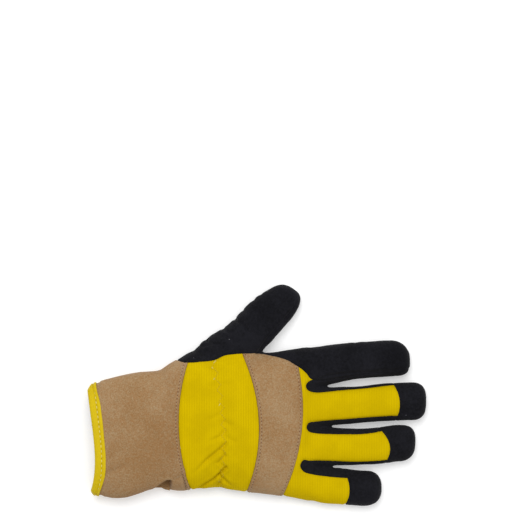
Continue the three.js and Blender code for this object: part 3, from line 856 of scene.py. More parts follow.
def build_nap(tree, vector, fibre, tuft):
    fibres = noise_mask(tree, vector, fibre, detail=3.0, roughness=0.7, distortion=0.6)
    tufts = noise_mask(tree, vector, tuft, detail=2.0, roughness=0.6, distortion=0.3)
    return [weighted(tree, fibres, 0.6, tufts)]


def build_mottle(tree, vector, patch, blotch):
    patches = noise_mask(tree, vector, patch, detail=3.0, roughness=0.55, distortion=0.4)
    blotches = noise_mask(tree, vector, blotch, detail=4.0, roughness=0.65, distortion=0.2)
    return [remap(tree, weighted(tree, patches, 0.5, blotches), *MOTTLE_CONTRAST)]


LINT_BEND = (900.0, 0.0006)  # how finely the dots are bent out of round, and how far in metres
LINT_CHANCE = 0.82


def build_lint(tree, vector, spacing, size):
    """Small bits of fluff: a dot in some of the cells of a random mesh."""
    finely, far = LINT_BEND
    uneven = add_node(tree, "TexNoise", {"Vector": vector, "Scale": finely, "Detail": 1.0})
    bend = add_node(tree, "VectorMath", {0: uneven.outputs["Color"], 3: far}, operation="SCALE").outputs[0]
    bent = add_node(tree, "VectorMath", {0: vector, 1: bend}, operation="ADD").outputs[0]
    cells = add_node(tree, "TexVoronoi", {"Vector": bent, "Scale": spacing})
    dot = math_node(tree, "LESS_THAN", cells.outputs["Distance"], size)
    chance = add_node(tree, "SeparateColor", {0: cells.outputs["Color"]}).outputs[0]
    return [times(tree, dot, math_node(tree, "GREATER_THAN", chance, LINT_CHANCE))]


NAP = node_group("nap", [("Fibre", 2600.0), ("Tuft", 900.0)], ["Height"], build_nap)
MOTTLE = node_group("mottle", [("Patch", 60.0), ("Blotch", 320.0)], ["Mask"], build_mottle)
LINT = node_group("lint", [("Spacing", 120.0), ("Size", 0.02)], ["Mask"], build_lint)
print("effects of suede:", [group.name for group in bpy.data.node_groups])

# %% [markdown]
# A woven tape is a grid of threads that go over and under each other, which the product of two sines
# gives. Knit has columns of small V-shaped loops: a rounded rib, and along it a wave that leans out to
# both sides. Both are drawn on the cloth's own flat coordinates, so they follow it round a bend.

# %% Effects of tape and knit
def build_weave(tree, vector, pitch):
    """Threads over and under each other, on a grid of the given pitch."""
    parts = add_node(tree, "SeparateXYZ", {0: vector})
    turn = math_node(tree, "DIVIDE", 2 * math.pi, pitch)
    warp = math_node(tree, "SINE", times(tree, parts.outputs[0], turn))
    weft = math_node(tree, "SINE", times(tree, parts.outputs[1], turn))
    return [plus(tree, times(tree, times(tree, warp, weft), 0.5), 0.5)]


RIB_FLANK = (0.5, 0.12)  # distances from a rib's crest between which it rounds over
LOOP_LEAN = 1.1
LOOP_DEPTH = 0.16


def build_ribs(tree, vector, pitch, loop):
    """Knit columns along v, each a row of small V-shaped loops."""
    parts = add_node(tree, "SeparateXYZ", {0: vector})
    column = math_node(tree, "DIVIDE", parts.outputs[0], pitch)
    within = math_node(tree, "SUBTRACT", math_node(tree, "FRACT", column), 0.5)
    off = math_node(tree, "ABSOLUTE", within)
    rounded = remap(tree, off, *RIB_FLANK)
    lean = times(tree, off, LOOP_LEAN)
    along = plus(tree, math_node(tree, "DIVIDE", parts.outputs[1], loop), lean)
    loops = math_node(tree, "SINE", times(tree, along, 2 * math.pi))
    return [plus(tree, rounded, times(tree, loops, LOOP_DEPTH)), rounded]


WEAVE = node_group("weave", [("Pitch", 0.7)], ["Height"], build_weave)
RIBS = node_group("ribs", [("Pitch", 1.25), ("Loop", 1.0)], ["Height", "Crest"], build_ribs)
print("all effects:", [group.name for group in bpy.data.node_groups])

# %% [markdown]
# Every finish starts from the same plain shader, and takes its colour and a bump from the pattern that the
# cloth has. Colours are picked on a screen, but a shader reckons with light, so they are turned into the
# linear values that it expects.

# %% A plain cloth shader
SHEEN_ROUGHNESS = 0.45


def srgb(red, green, blue):
    """A colour picked on screen (0 to 255), as the linear values that a shader takes."""
    linear = [c / 255 / 12.92 if c <= 10 else ((c / 255 + 0.055) / 1.055) ** 2.4 for c in (red, green, blue)]
    return (*linear, 1.0)


def new_material(name, roughness, sheen=0.0, specular=0.5):
    material = bpy.data.materials.new(name)
    material.use_nodes = True
    tree = material.node_tree
    shader = tree.nodes["Principled BSDF"]
    shader.inputs["Roughness"].default_value = roughness
    shader.inputs["Sheen Weight"].default_value = sheen
    shader.inputs["Sheen Roughness"].default_value = SHEEN_ROUGHNESS
    shader.inputs["Specular IOR Level"].default_value = specular
    return material, tree, shader


def dress(tree, shader, colour, height, distance, strength):
    tree.links.new(colour, shader.inputs["Base Color"])
    bump = add_node(tree, "Bump", {"Height": height, "Distance": distance, "Strength": strength})
    tree.links.new(bump.outputs["Normal"], shader.inputs["Normal"])


def place_on(tree, space):
    return tree.nodes.new("ShaderNodeTexCoord").outputs[space]


print("mid grey on a screen is", round(srgb(128, 128, 128)[0], 3), "to a shader")

# %% [markdown]
# The two suedes are one recipe in two colours, rough and almost without a highlight: slow patches and nap
# between a dark and a light tone, then brown flecks in the tan, and pale lint that clings to the black.

# %% Suede
def suede(name, dark, light, fleck_colour, lint_colour, lint_amount, sheen, patch, blotch, bump_depth):
    material, tree, shader = new_material(name, roughness=0.92, sheen=sheen, specular=0.1)
    place = place_on(tree, "Object")
    nap = place_group(tree, NAP, {"Vector": place, "Fibre": 2600.0, "Tuft": 800.0})["Height"]
    mask = place_group(tree, MOTTLE, {"Vector": place, "Patch": patch, "Blotch": blotch})["Mask"]
    colour = blend(tree, weighted(tree, mask, 0.68, remap(tree, nap, 0.4, 0.6)), dark, light)
    flecks = place_group(tree, MOTTLE, {"Vector": place, "Patch": 420.0, "Blotch": 1500.0})["Mask"]
    colour = blend(tree, times(tree, flecks, 0.4), colour, fleck_colour)
    lint = place_group(tree, LINT, {"Vector": place, "Spacing": 150.0, "Size": 0.05})["Mask"]
    colour = blend(tree, times(tree, lint, lint_amount), colour, lint_colour)
    dress(tree, shader, colour, nap, bump_depth, strength=0.7)
    return material


TAN_SUEDE = suede("tan_suede", dark=srgb(133, 99, 60), light=srgb(171, 148, 115),
                  fleck_colour=srgb(151, 102, 53), lint_colour=srgb(200, 184, 158), lint_amount=0.25,
                  sheen=0.1, patch=16.0, blotch=900.0, bump_depth=0.0004)
BLACK_SUEDE = suede("black_suede", dark=srgb(8, 8, 10), light=srgb(29, 29, 34),
                    fleck_colour=srgb(20, 20, 26), lint_colour=srgb(130, 130, 136), lint_amount=0.8,
                    sheen=0.04, patch=40.0, blotch=520.0, bump_depth=0.0003)
print("suedes:", TAN_SUEDE.name, BLACK_SUEDE.name)

# %% [markdown]
# The knit's ribs are coloured with painted shade, a darker yellow in their valleys than on their crests.
# They show clearly in some places and are felted over in others, so a slow noise weakens that shade.
# The tape over the hem and the strap are both woven. The strap is coated, so it is smoother and has the
# only clear highlight on the glove.

# %% Knit, tape and strap
def knit(name, shaded_valley, crest, worn, speck):
    material, tree, shader = new_material(name, roughness=0.9, specular=0.03)
    place = place_on(tree, "Object")
    ribs = place_group(tree, RIBS, {"Vector": place_on(tree, "UV"), "Pitch": 1.27, "Loop": 1.05})
    clear = remap(tree, noise_mask(tree, place, 60.0), 0.35, 0.65, new_low=0.45)
    # painted shade: the valleys between the ribs get the darker yellow and the crests the lighter one
    colour = blend(tree, times(tree, ribs["Height"], clear), shaded_valley, crest)
    mask = place_group(tree, MOTTLE, {"Vector": place, "Patch": 30.0, "Blotch": 700.0})["Mask"]
    colour = blend(tree, times(tree, mask, 0.3), colour, worn)
    specks = place_group(tree, LINT, {"Vector": place, "Spacing": 60.0, "Size": 0.03})["Mask"]
    colour = blend(tree, times(tree, specks, 0.6), colour, speck)
    dress(tree, shader, colour, ribs["Height"], distance=0.0002, strength=0.5)
    return material


YELLOW_KNIT = knit("yellow_knit", shaded_valley=srgb(184, 156, 0), crest=srgb(206, 178, 0), worn=srgb(206, 174, 0),
                   speck=srgb(96, 78, 10))


def woven(name, dark, light, roughness, pitch, depth, specular):
    material, tree, shader = new_material(name, roughness, specular=specular)
    threads = place_group(tree, WEAVE, {"Vector": place_on(tree, "UV"), "Pitch": pitch})["Height"]
    place = place_on(tree, "Object")
    mask = place_group(tree, MOTTLE, {"Vector": place, "Patch": 40.0, "Blotch": 600.0})["Mask"]
    dress(tree, shader, blend(tree, weighted(tree, threads, 0.7, mask), dark, light), threads, depth,
          strength=0.6)
    return material


YELLOW_TAPE = woven("yellow_tape", dark=srgb(190, 164, 0), light=srgb(218, 190, 8), roughness=0.6,
                    pitch=0.7, depth=0.00016, specular=0.15)
BLACK_STRAP = woven("black_strap", dark=srgb(20, 20, 22), light=srgb(34, 34, 37), roughness=0.38,
                    pitch=0.9, depth=0.00008, specular=0.45)
print("cloths:", YELLOW_KNIT.name, YELLOW_TAPE.name, BLACK_STRAP.name)

# %% [markdown]
# Thread is twisted, which at this size is no more than a fine unevenness. A needle hole is dark because
# the cloth is drawn in there and shade falls into it, so its bead is painted shade: a darker tone of the
# cloth's own colour and not black.

# %% Threads
def thread(name, dark, light):
    material, tree, shader = new_material(name, roughness=0.6, sheen=0.1, specular=0.4)
    place = place_on(tree, "Object")
    twist = noise_mask(tree, place, 2200.0)
    dress(tree, shader, blend(tree, twist, dark, light), twist, distance=0.0001, strength=0.6)
    return material


BROWN_THREAD = thread("brown_thread", srgb(150, 122, 90), srgb(178, 150, 116))
YELLOW_THREAD = thread("yellow_thread", srgb(190, 162, 0), srgb(214, 184, 4))
PALE_THREAD = thread("pale_thread", srgb(204, 190, 90), srgb(224, 212, 132))
BLACK_THREAD = thread("black_thread", srgb(12, 12, 14), srgb(40, 40, 44))
# the hole colours are painted shade: the shadow in a needle hole, on a small bead laid on the cloth
BROWN_HOLE_SHADE = thread("brown_hole_shade", srgb(98, 64, 38), srgb(124, 86, 54))
YELLOW_HOLE_SHADE = thread("yellow_hole_shade", srgb(140, 116, 0), srgb(170, 142, 0))
print("finishes:", len(bpy.data.materials))

# %% [markdown]
# Every part of the glove that can be seen is a piece of its own, with its finish. One helper makes them
# all, so none is forgotten: it is smooth but for real edges, rides on the glove, and stands for the solid
# of the same name, if there is one.

# %% One piece of the glove
SHARP = math.radians(48)
made = {}


def cloth_piece(name, points, faces, material, node=None, uv=None):
    """A named mesh that rides on the glove, with its finish and the solid it stands for."""
    piece = add_object(name, raw_mesh(name, points, faces))
    piece.data.materials.append(material)
    piece.data.polygons.foreach_set("use_smooth", [True] * len(piece.data.polygons))
    piece.data.set_sharp_from_angle(angle=SHARP)
    if uv is not None:
        corners = read(piece.data.loops, "vertex_index", int, 1)
        piece.data.uv_layers.new(name="cloth").data.foreach_set("uv", np.asarray(uv)[corners].ravel())
    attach(piece, "root")
    if node:
        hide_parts(node)
    made[name] = piece
    return piece


print("pieces so far:", len(made))

# %% [markdown]
# Near its edge a panel is drawn down, as a seam pulls it. The suede band and cuff are lapped over the
# knit, so they stand a little proud and turn down sharply. A row of stitching presses a shallow channel
# beside the seam, and the tape presses the cuff at the hem.

# %% What the seams do to a panel
PANEL_LOOK = {  # material, slot, proud, tuck, tuck width
    "cuff_back": (TAN_SUEDE, "tan_suede", 0.30, 0.85, 0.8),
    "cuff_palm": (TAN_SUEDE, "tan_suede", 0.15, 0.85, 0.9),
    "knuckle_strap": (TAN_SUEDE, "tan_suede", 0.35, 0.85, 0.7),
    "hand_back": (YELLOW_KNIT, "yellow_knit", -0.15, 0.75, 1.1),
    "finger_back": (YELLOW_KNIT, "yellow_knit", -0.05, 0.80, 1.2),
}
BLACK_LOOK = (BLACK_SUEDE, "black_suede", 0.05, 0.50, 0.9)
TOPSTITCHED = {"cuff_back": ["wrist"], "cuff_palm": ["palm_wrist"],
               "knuckle_strap": ["strap_rear", "strap_front"]}
STITCH_INSET = 1.95
STITCH_DIP = (0.28, 0.55)  # depth and width of the channel under a row of stitches
TAPE_PRESS = 0.6
TAPE_COVER = (6.4, 8.6)  # distances from the hem between which the tape stops pressing the cuff
OUTLINE_TUCK = (0.7, 8.0, 1.8)  # share taken off a black seam's tuck, round this height, over this range


def panel_edges(tris):
    """The panel's outline as directed edges."""
    edges = sides(tris)
    keys = np.sort(edges, axis=1)
    _, first, count = np.unique(keys, axis=0, return_index=True, return_counts=True)
    return edges[first[count == 1]]


def edge_distance(points, edges):
    """How far each point is from the panel's outline."""
    tree = KDTree(len(edges) * 2)
    for i, (a, b) in enumerate(edges):
        tree.insert(points[a], 2 * i)
        tree.insert((points[a] + points[b]) / 2, 2 * i + 1)
    tree.balance()
    return np.array([tree.find(p)[2] for p in points])


def seam_lift(name, points, away):
    """How far the outer face stands out from the form, and dips at edges, stitches and tape."""
    _, _, proud, tuck, width = PANEL_LOOK.get(name, BLACK_LOOK)
    if name not in PANEL_LOOK:
        less, height, reach = OUTLINE_TUCK
        tuck = tuck * (1 - less * bell(points[:, 2] - height, reach))
    lift = proud - tuck * bell(away, width)
    for seam in TOPSTITCHED.get(name, []):
        from_row = np.abs(np.abs(cross_field(seam)(points)) - STITCH_INSET)
        lift -= STITCH_DIP[0] * bell(from_row, STITCH_DIP[1])
    if name in ("cuff_back", "cuff_palm"):
        lift -= TAPE_PRESS * (1 - smoothstep(hem_field(points), *TAPE_COVER))
    return lift


print("panels with their own look:", len(PANEL_LOOK))

# %% [markdown]
# A panel is a sheet, not a surface: a copy of its outer face one wall thickness inside is joined to it
# by a rim, so the cuff's mouth shows how thick the leather is. The edges are drawn back by a hair, so
# the seam between two panels reads as a fine dark line.

# %% Sew the panels
WALL = 1.5
SEAM_OPEN = 0.12
LINING_GAP = 0.05  # the least height of an inner face over the outer one, where both are pressed flat


def sew_panel(name):
    used, tris = np.unique(skin_tris[tags == name], return_inverse=True)
    tris = tris.reshape(-1, 3)
    points, out = skin[used].copy(), skin_normals[used]
    edges = panel_edges(tris)
    lift = seam_lift(name, points, edge_distance(points, edges))
    outline = np.unique(edges)
    middle = at_corners(tris, points[tris].mean(1), len(points))
    middle /= np.bincount(tris.ravel(), minlength=len(points))[:, None]
    points[outline] += SEAM_OPEN * unit(middle[outline] - points[outline])
    outer = points + out * lift[:, None]
    inner = outer - out * WALL
    outer[:, 2] = np.maximum(outer[:, 2], 0.0)
    inner[:, 2] = np.maximum(inner[:, 2], outer[:, 2].min() + LINING_GAP)
    count = len(points)
    rim = np.column_stack([edges[:, 1], edges[:, 0], edges[:, 0] + count, edges[:, 1] + count])
    faces = list(map(tuple, tris)) + list(map(tuple, tris[:, ::-1] + count)) + list(map(tuple, rim))
    uv = np.vstack([points[:, :2]] * 2)
    material, slot = PANEL_LOOK.get(name, BLACK_LOOK)[:2]
    return cloth_piece(name, np.vstack([outer, inner]), faces, material, name, uv)


skin_normals = point_normals(skin, skin_tris)
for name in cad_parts:
    if name in tags:
        sew_panel(name)
print("panels:", len(made))

# %% [markdown]
# A tape is folded over the raw hem of the cuff and stitched through, so no cut edge rubs the wrist. It is
# one profile, drawn round the cuff's own section: out over the back, round the fold and in again, with
# room in the middle for the cuff. The stitching pulls it in, which leaves a lobe on each side of the row.

# %% Hem binding
BINDING_STITCH = 4.6
HEM_PITCH = 3.7
HEM_STEPS = 480
TAPE_PUCKER = 0.14
PUCKER_WIDTH = 1.2
TAPE_LUMPS = (0.12, 4, 5)
TAPE_WANDER = (0.3, 14, 6)
TAPE_NARROWED = 0.2  # how much narrower the tape looks where it turns over the side edge
WANDER_FADE = (2, 7)
CORNER_FADE = (0.5, 5)
SIDE_FADE = (0.6, 1.0)
BINDING_PROFILE = [  # distance from the hem, inset from the cuff's outer face
    (7.7, -0.02), (7.6, -0.5), (7.1, -0.85), (6.2, -0.95), (5.4, -0.7), (BINDING_STITCH, -0.2), (3.8, -0.7),
    (2.6, -1.0), (1.2, -0.95), (0.3, -0.7), (-0.35, -0.15), (-0.6, 0.7), (-0.35, 1.55), (0.3, 2.1),
    (1.4, 2.4), (3.2, 2.3), (BINDING_STITCH, 1.9), (6.0, 2.3), (7.2, 2.2), (7.4, 1.54), (2.0, 1.54),
    (0.3, 1.4), (0.1, 0.75), (0.3, 0.05), (2.0, -0.02),
]


def binding():
    turn = np.arange(HEM_STEPS) / HEM_STEPS
    stitches = round(HEM_LENGTH / HEM_PITCH)
    pucker = TAPE_PUCKER * np.cos(2 * math.pi * turn * stitches)
    rings = []
    for along, inset in BINDING_PROFILE:
        start = body_ring(HEM_X + along, inset, HEM_STEPS)
        inward = body_ring(HEM_X + along, inset + 1, HEM_STEPS) - start
        onward = body_ring(HEM_X + along + 1, inset, HEM_STEPS) - start
        pull = pucker * bell(along - BINDING_STITCH, PUCKER_WIDTH)
        ring = start + inward * (swelling(start, LUMPS, TAPE_LUMPS) + pull)[:, None]
        across = hem_share(ring)
        slide = swelling(ring, TAPE_WANDER) * smoothstep(along, *WANDER_FADE)
        slide += hem_corner(across) * (1 - smoothstep(along, *CORNER_FADE))
        slide -= TAPE_NARROWED * max(0.0, along) * smoothstep(np.abs(across), *SIDE_FADE)
        rings.append(ring + slide[:, None] * onward)
    points = np.stack(rings, axis=1)
    index = np.arange(points.shape[0] * points.shape[1]).reshape(points.shape[:2])
    faces = tube_faces(np.vstack([index, index[:1]]))
    run = run_along(np.array(BINDING_PROFILE))
    uv = np.stack(np.broadcast_arrays(turn[:, None] * HEM_LENGTH, run[None, :]), axis=-1)
    return cloth_piece("hem_binding", points.reshape(-1, 3), faces, YELLOW_TAPE,
                       "hem_binding", uv.reshape(-1, 2))


hem_ring = body_ring(HEM_X, 0.0, HEM_STEPS)
HEM_LENGTH = float(np.linalg.norm(np.roll(hem_ring, -1, axis=0) - hem_ring, axis=1).sum())
binding()
print("hem:", round(HEM_LENGTH), "mm round")

# %% [markdown]
# The pull strap is a coated tape, sewn flat under the palm side of the cuff, led round the hem and back
# inside, so a finger can hook it. It is a section with raised edges swept along the route, with its
# end sewn down by a square of stitching and a cross.

# %% Pull strap
STRAP_WIDTH = 13.4
STRAP_THICKNESS = 1.5
STRAP_END = (-82.0, -12.0)
STRAP_TURN = math.radians(7)
STRAP_STEPS = 9
STRAP_ROUTE = [  # distance towards the hem, height
    (0, 1.5), (8, 1.5), (19, 1.35), (30, 1.1), (36, 1.02), (40.3, 1.15), (43.0, 2.6), (43.8, 4.65),
    (43.0, 6.7), (40.3, 8.15), (34, 8.15), (28, 7.8), (22, 7.6), (14, 7.5),
]
STRAP_SECTION = [  # share of the width, share of the thickness, on the outer face from edge to edge
    (-1.0, 0.0), (-0.98, 0.34), (-0.93, 0.5), (-0.86, 0.5), (-0.8, 0.36), (-0.74, 0.33), (-0.4, 0.36),
    (0, 0.38), (0.4, 0.36), (0.74, 0.33), (0.8, 0.36), (0.86, 0.5), (0.93, 0.5), (0.98, 0.34), (1.0, 0.0),
    (0.97, -0.34), (0.9, -0.42), (0.3, -0.42), (-0.3, -0.42), (-0.9, -0.42), (-0.97, -0.34),
]


def strap_place(along, across, height):
    """A point given along and across the strap, in the glove's frame."""
    cos, sin = math.cos(STRAP_TURN), math.sin(STRAP_TURN)
    return (STRAP_END[0] - along * cos - across * sin, STRAP_END[1] - along * sin + across * cos, height)


def strap():
    route = smooth_line(STRAP_ROUTE, STRAP_STEPS)
    heading = unit(np.gradient(route, axis=0))
    rings = []
    for (along, height), (run, rise) in zip(route, heading):
        ring = []
        for wide, thick in STRAP_SECTION:
            off = -thick * STRAP_THICKNESS
            ring.append(strap_place(along - off * rise, wide * STRAP_WIDTH / 2, height + off * run))
        rings.append(np.array(ring))
    points, faces = loft(rings)
    run = np.repeat(run_along(route), len(STRAP_SECTION))
    wide = np.tile([w * STRAP_WIDTH / 2 for w, _ in STRAP_SECTION], len(route))
    uv = np.vstack([np.column_stack([run, wide]), [[0, 0], [run[-1], 0]]])
    return cloth_piece("pull_strap", points, faces, BLACK_STRAP, "pull_strap", uv)


strap()
print("strap:", STRAP_WIDTH, "mm wide, sewn down at", STRAP_END)

# %% [markdown]
# A stitch is a short bead of thread that dives into a needle hole at each end. One bead is a small
# ellipsoid with few sides, because there are hundreds. A painted row would look flat from the side.

# %% One bead
BEAD_RINGS = 5
BEAD_SIDES = 8


def bead():
    """A unit ellipsoid along X, as points and triangles."""
    points, faces = [(-1.0, 0.0, 0.0)], []
    for ring in range(1, BEAD_RINGS):
        angle = math.pi * ring / BEAD_RINGS
        for side in range(BEAD_SIDES):
            turn = 2 * math.pi * side / BEAD_SIDES
            points.append((-math.cos(angle), math.sin(angle) * math.cos(turn),
                           math.sin(angle) * math.sin(turn)))
    points.append((1.0, 0.0, 0.0))
    last = len(points) - 1
    for side in range(BEAD_SIDES):
        after = (side + 1) % BEAD_SIDES
        faces.append((0, 1 + after, 1 + side))
        faces.append((last, last - BEAD_SIDES + side, last - BEAD_SIDES + after))
        for ring in range(BEAD_RINGS - 2):
            a, b = 1 + ring * BEAD_SIDES + side, 1 + ring * BEAD_SIDES + after
            faces.append((a, b, b + BEAD_SIDES))
            faces.append((a, b + BEAD_SIDES, a + BEAD_SIDES))
    return np.array(points), np.array(faces)


print("a bead has", len(bead()[1]), "triangles")

# %% [markdown]
# A row is a line in plan that is dropped on the cloth, so it follows every fold. Rays from above find
# the cloth and the way it faces, and beads are laid along what they found at an even pitch, with dark
# beads of painted shade for the holes between them. All beads of a row are joined in one mesh.

# %% Rows on the cloth
ABOVE = 80.0
BELOW = -20.0
BEAD_LIFT = 0.1
# the HOLE sizes are for the dark beads of painted shade that stand for the needle holes
HOLE_LIFT = 0.04
HOLE_LENGTH = 1.25
HOLE_DEPTH = 0.16
HEADING_STEP = 0.4


def tree_of(names):
    points, faces = [], []
    for name in names:
        mesh = made[name].data
        start = sum(map(len, points))
        points.append(read(mesh.vertices, "co") / MM)
        faces += [tuple(v + start for v in p.vertices) for p in mesh.polygons]
    return BVHTree.FromPolygons(np.vstack(points).tolist(), faces)


def dropped(tree, places, above=True):
    """Points and normals where lines from straight above (or below) the places meet the cloth."""
    found = []
    for x, y in places:
        start, heading = (ABOVE, -1) if above else (BELOW, 1)
        hit, normal, _, _ = tree.ray_cast(Vector((x, y, start)), Vector((0, 0, heading)))
        if hit is not None:
            found.append((*hit, *(normal if (normal.z > 0) == above else -normal)))
    return np.array(found)


def paced(line, pitch):
    """Evenly spaced points, headings and normals along a dropped line."""
    run = run_along(line[:, :3])
    at = np.arange(pitch / 2, run[-1], pitch)
    value, before, after = (
        np.column_stack([np.interp(at + shift, run, line[:, k]) for k in range(6)])
        for shift in (0, -HEADING_STEP, HEADING_STEP))
    return value[:, :3], unit(after[:, :3] - before[:, :3]), value[:, 3:]


def stitch_piece(name, rows, thread_material, hole_shade_material):
    """rows: (points, headings, normals, half sizes of a bead, whether it is a hole of painted shade)."""
    bead_points, bead_faces = bead()
    points, faces, marks = [], [], []
    for places, headings, ups, (length, width, height), hole in rows:
        across = unit(np.cross(ups, headings))
        for place, ahead, side in zip(places, headings, across):
            axes = np.array([ahead, side, np.cross(ahead, side)])
            faces.append(bead_faces + len(points) * len(bead_points))
            points.append(place + bead_points * (length, width, height) @ axes)
            marks += [int(hole)] * len(bead_faces)
    points = np.vstack(points)
    points[:, 2] = np.maximum(points[:, 2], 0.0)
    piece = cloth_piece(name, points, np.vstack(faces), thread_material)
    # the second finish goes on the hole beads, as painted shade
    piece.data.materials.append(hole_shade_material)
    piece.data.polygons.foreach_set("material_index", marks)
    return piece


def row_of(line, pitch, length, width, height, hole):
    """One row of thread beads, and dark beads of painted shade for the needle holes halfway between them."""
    places, headings, ups = paced(line, pitch)
    shift = headings * pitch / 2
    return [(places + BEAD_LIFT * ups, headings, ups, (length / 2, width, height), False),
            (places + shift + HOLE_LIFT * ups, headings, ups, (hole * HOLE_LENGTH, hole, HOLE_DEPTH), True)]


print("rows start", BEAD_LIFT, "mm off the cloth")

# %% [markdown]
# The suede is sewn with a strong brown thread, a little paler than the leather. One row closes the cuff
# at the wrist, and two hold the band over the knuckles, each at the same distance from the band's edge.

# %% Rows on the suede
ROW_STEP = 0.25


def across_hand(name, inset, reach=(40, -86)):
    at, lean, bow = CROSS_SEAMS[name]
    y = np.arange(*reach, -ROW_STEP)
    s = (y - SEAM_MIDDLE) / SEAM_UNIT
    return np.column_stack([at + lean * s + bow * s * s + inset, y])


TAN_ROW = {"pitch": 2.68, "length": 1.5, "width": 0.36, "height": 0.24, "hole": 0.46}
back_cloth = tree_of(["cuff_back", "knuckle_strap"])
cuff_line = dropped(back_cloth, across_hand("wrist", -STITCH_INSET))
stitch_piece("cuff_stitches", row_of(cuff_line, **TAN_ROW), BROWN_THREAD, BROWN_HOLE_SHADE)
rows = []
for name, inset in (("strap_rear", STITCH_INSET), ("strap_front", -STITCH_INSET)):
    rows += row_of(dropped(back_cloth, across_hand(name, inset)), **TAN_ROW)
stitch_piece("knuckle_stitches", rows, BROWN_THREAD, BROWN_HOLE_SHADE)
print("stitched:", [name for name in made if name.endswith("stitches")])

# %% [markdown]
# The tape's row goes round the whole hem, so it follows the cuff's own section and not a dropped line. The
# palm side has the same row as the back, dropped from below. Both threads are thick enough to be read as
# stitches from a step back.

# %% Hem and palm rows
HEM_ROW = {"pitch": HEM_PITCH, "length": 2.1, "width": 0.34, "height": 0.26, "hole": 0.28}
HEM_ROW_INSETS = (-0.35, 1.0)  # of the thread, and of the places under it that tell which way is out
PALM_ROW_REACH = (30, -80)
hem_row = body_ring(HEM_X + BINDING_STITCH, HEM_ROW_INSETS[0], HEM_STEPS)
hem_out = unit(hem_row - body_ring(HEM_X + BINDING_STITCH, HEM_ROW_INSETS[1], HEM_STEPS))
stitch_piece("hem_stitches", row_of(np.hstack([hem_row, hem_out]), **HEM_ROW), PALE_THREAD, YELLOW_HOLE_SHADE)

palm_line = across_hand("palm_wrist", -STITCH_INSET, PALM_ROW_REACH)
palm_line = dropped(tree_of(["cuff_palm"]), palm_line, above=False)
stitch_piece("palm_cuff_stitches", row_of(palm_line, **TAN_ROW), BROWN_THREAD, BROWN_HOLE_SHADE)
print("hem row:", round(HEM_LENGTH / HEM_PITCH), "stitches")

# %% [markdown]
# Elastic is sewn on with a zigzag, which can stretch with it. Its thread has the knit's own yellow, so it is
# hardly seen but for a few pale ends that were left long. They are short rows of beads without holes.

# %% Zigzag over the elastic
ZIGZAG_PERIOD = 8.6
ZIGZAG_HALF = 1.7
ZIGZAG_REACH = (27, -74)
ZIGZAG_ROW = {"pitch": 1.83, "length": 1.3, "width": 0.16, "height": 0.12, "hole": 0.2}
END_ROW = {"pitch": 0.7, "length": 0.9, "width": 0.24, "height": 0.24, "hole": 0.05}
ZIGZAG_STEP = 0.15
THREAD_ENDS = [((-31.0, 26.4), (-32.7, 24.3)), ((-34.1, 21.4), (-33.1, 20.1)),
               ((-32.1, 13.2), (-32.5, 12.2)), ((-27.6, -5.6), (-28.8, -7.6))]
THREAD_POINTS = 12
knit_cloth = tree_of(["hand_back"])
y = np.arange(*ZIGZAG_REACH, -ZIGZAG_STEP)
swing = 2 * np.abs(((y / ZIGZAG_PERIOD) % 1) * 2 - 1) - 1
zigzag = dropped(knit_cloth, np.column_stack([gather_x(y) + ZIGZAG_HALF * swing, y]))
stitch_piece("gather_stitches", row_of(zigzag, **ZIGZAG_ROW), YELLOW_THREAD, YELLOW_HOLE_SHADE)
rows = []
for start, end in THREAD_ENDS:
    beads, _ = row_of(dropped(knit_cloth, np.linspace(start, end, THREAD_POINTS)), **END_ROW)
    rows.append(beads)
stitch_piece("thread_end_stitches", rows, PALE_THREAD, PALE_THREAD)
print("zigzag:", len(zigzag), "points on the knit,", len(THREAD_ENDS), "thread ends")

# %% [markdown]
# A strap that is pulled at is sewn down with a box: a square of stitching and its two diagonals, in one
# go without cutting the thread. So the corners below are in the order in which the needle visits them.

# %% Box on the strap
BOX_HALF = 4.6
BOX_ALONG = 6.2
BOX_POINTS = 30
BOX_ROW = {"pitch": 1.6, "length": 1.15, "width": 0.2, "height": 0.2, "hole": 0.12}
BOX_CORNERS = [(-1, -1), (1, -1), (1, 1), (-1, 1), (-1, -1), (1, 1), (1, -1), (-1, 1)]
strap_cloth = tree_of(["pull_strap"])
rows = []
for start, end in zip(BOX_CORNERS, BOX_CORNERS[1:]):
    shares = BOX_HALF * np.linspace(start, end, BOX_POINTS)
    route = [strap_place(BOX_ALONG + along, across, 0)[:2] for along, across in shares]
    rows += row_of(dropped(strap_cloth, route, above=False), **BOX_ROW)
stitch_piece("strap_box_stitches", rows, BLACK_THREAD, BLACK_THREAD)
print("pieces:", len(made))

# %% [markdown]
# The picture is taken from straight above, 3 m up, with a long lens, so the glove shows almost no
# perspective. The lens follows from what one pixel spans on the table. That keeps the view and the sizes
# in the tables tied together.

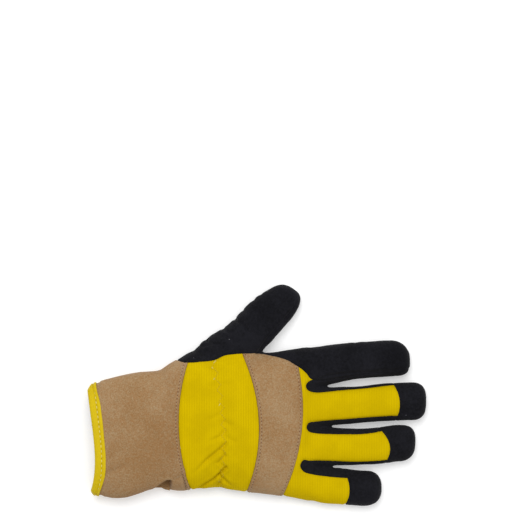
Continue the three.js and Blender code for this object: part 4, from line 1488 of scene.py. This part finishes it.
# %% Camera
PIXEL = 0.76
FRAME_PIXELS = 523
VIEW_CENTRE = (3.4, 101.1)
CAMERA_HEIGHT = 3000.0
FAR_CLIP = 20.0
camera = add_object("camera", bpy.data.cameras.new("camera"))
camera.location = (VIEW_CENTRE[0] * MM, VIEW_CENTRE[1] * MM, CAMERA_HEIGHT * MM)
camera.data.lens = camera.data.sensor_width * CAMERA_HEIGHT / (PIXEL * FRAME_PIXELS)
camera.data.clip_end = FAR_CLIP
bpy.context.scene.camera = camera
print("lens:", round(camera.data.lens), "mm")

# %% [markdown]
# The floor is a plain pale board that glows a little by itself, so it comes out white while the contact
# shadows stay. Brighter lights would do that too, but would burn out the yellow.

# %% Floor
FLOOR_HALF = 4000.0
FLOOR_HEIGHT = -0.1
FLOOR_GREY = 0.8
FLOOR_GLOW = 0.3
turns = [(-1, -1), (1, -1), (1, 1), (-1, 1)]
floor_points = [(FLOOR_HALF * a, FLOOR_HALF * b, FLOOR_HEIGHT) for a, b in turns]
floor = add_object("floor", raw_mesh("floor", floor_points, [(0, 1, 2, 3)]))
floor_material, tree, shader = new_material("pale_floor", 0.9)
shader.inputs["Base Color"].default_value = (FLOOR_GREY, FLOOR_GREY, FLOOR_GREY, 1)
shader.inputs["Emission Color"].default_value = (1, 1, 1, 1)
shader.inputs["Emission Strength"].default_value = FLOOR_GLOW
floor.data.materials.append(floor_material)
print("floor:", 2 * FLOOR_HALF * MM, "m wide")

# %% [markdown]
# Two large soft boxes light the glove: the key from the thumb's side, so each fold has a lit and a shaded
# flank, and a weaker one from the fingertips' side. An even white sky fills the rest.

# %% Light
SKY = 0.5


def soft_box(name, place, size, power):
    light = add_object(name, bpy.data.lights.new(name, "AREA"))
    light.data.size = size
    light.data.energy = power
    light.location = place
    light.rotation_euler = (-Vector(place)).to_track_quat("-Z", "Y").to_euler()


soft_box("key", place=(-0.25, 0.85, 1.75), size=1.2, power=23.5)
soft_box("fill", place=(0.9, -0.3, 1.6), size=1.4, power=8)
world = bpy.data.worlds.new("studio")
world.use_nodes = True
world.node_tree.nodes["Background"].inputs["Color"].default_value = (1, 1, 1, 1)
world.node_tree.nodes["Background"].inputs["Strength"].default_value = SKY
bpy.context.scene.world = world
bpy.context.scene.view_settings.view_transform = "Standard"
print("lights:", "key and fill, sky", SKY)
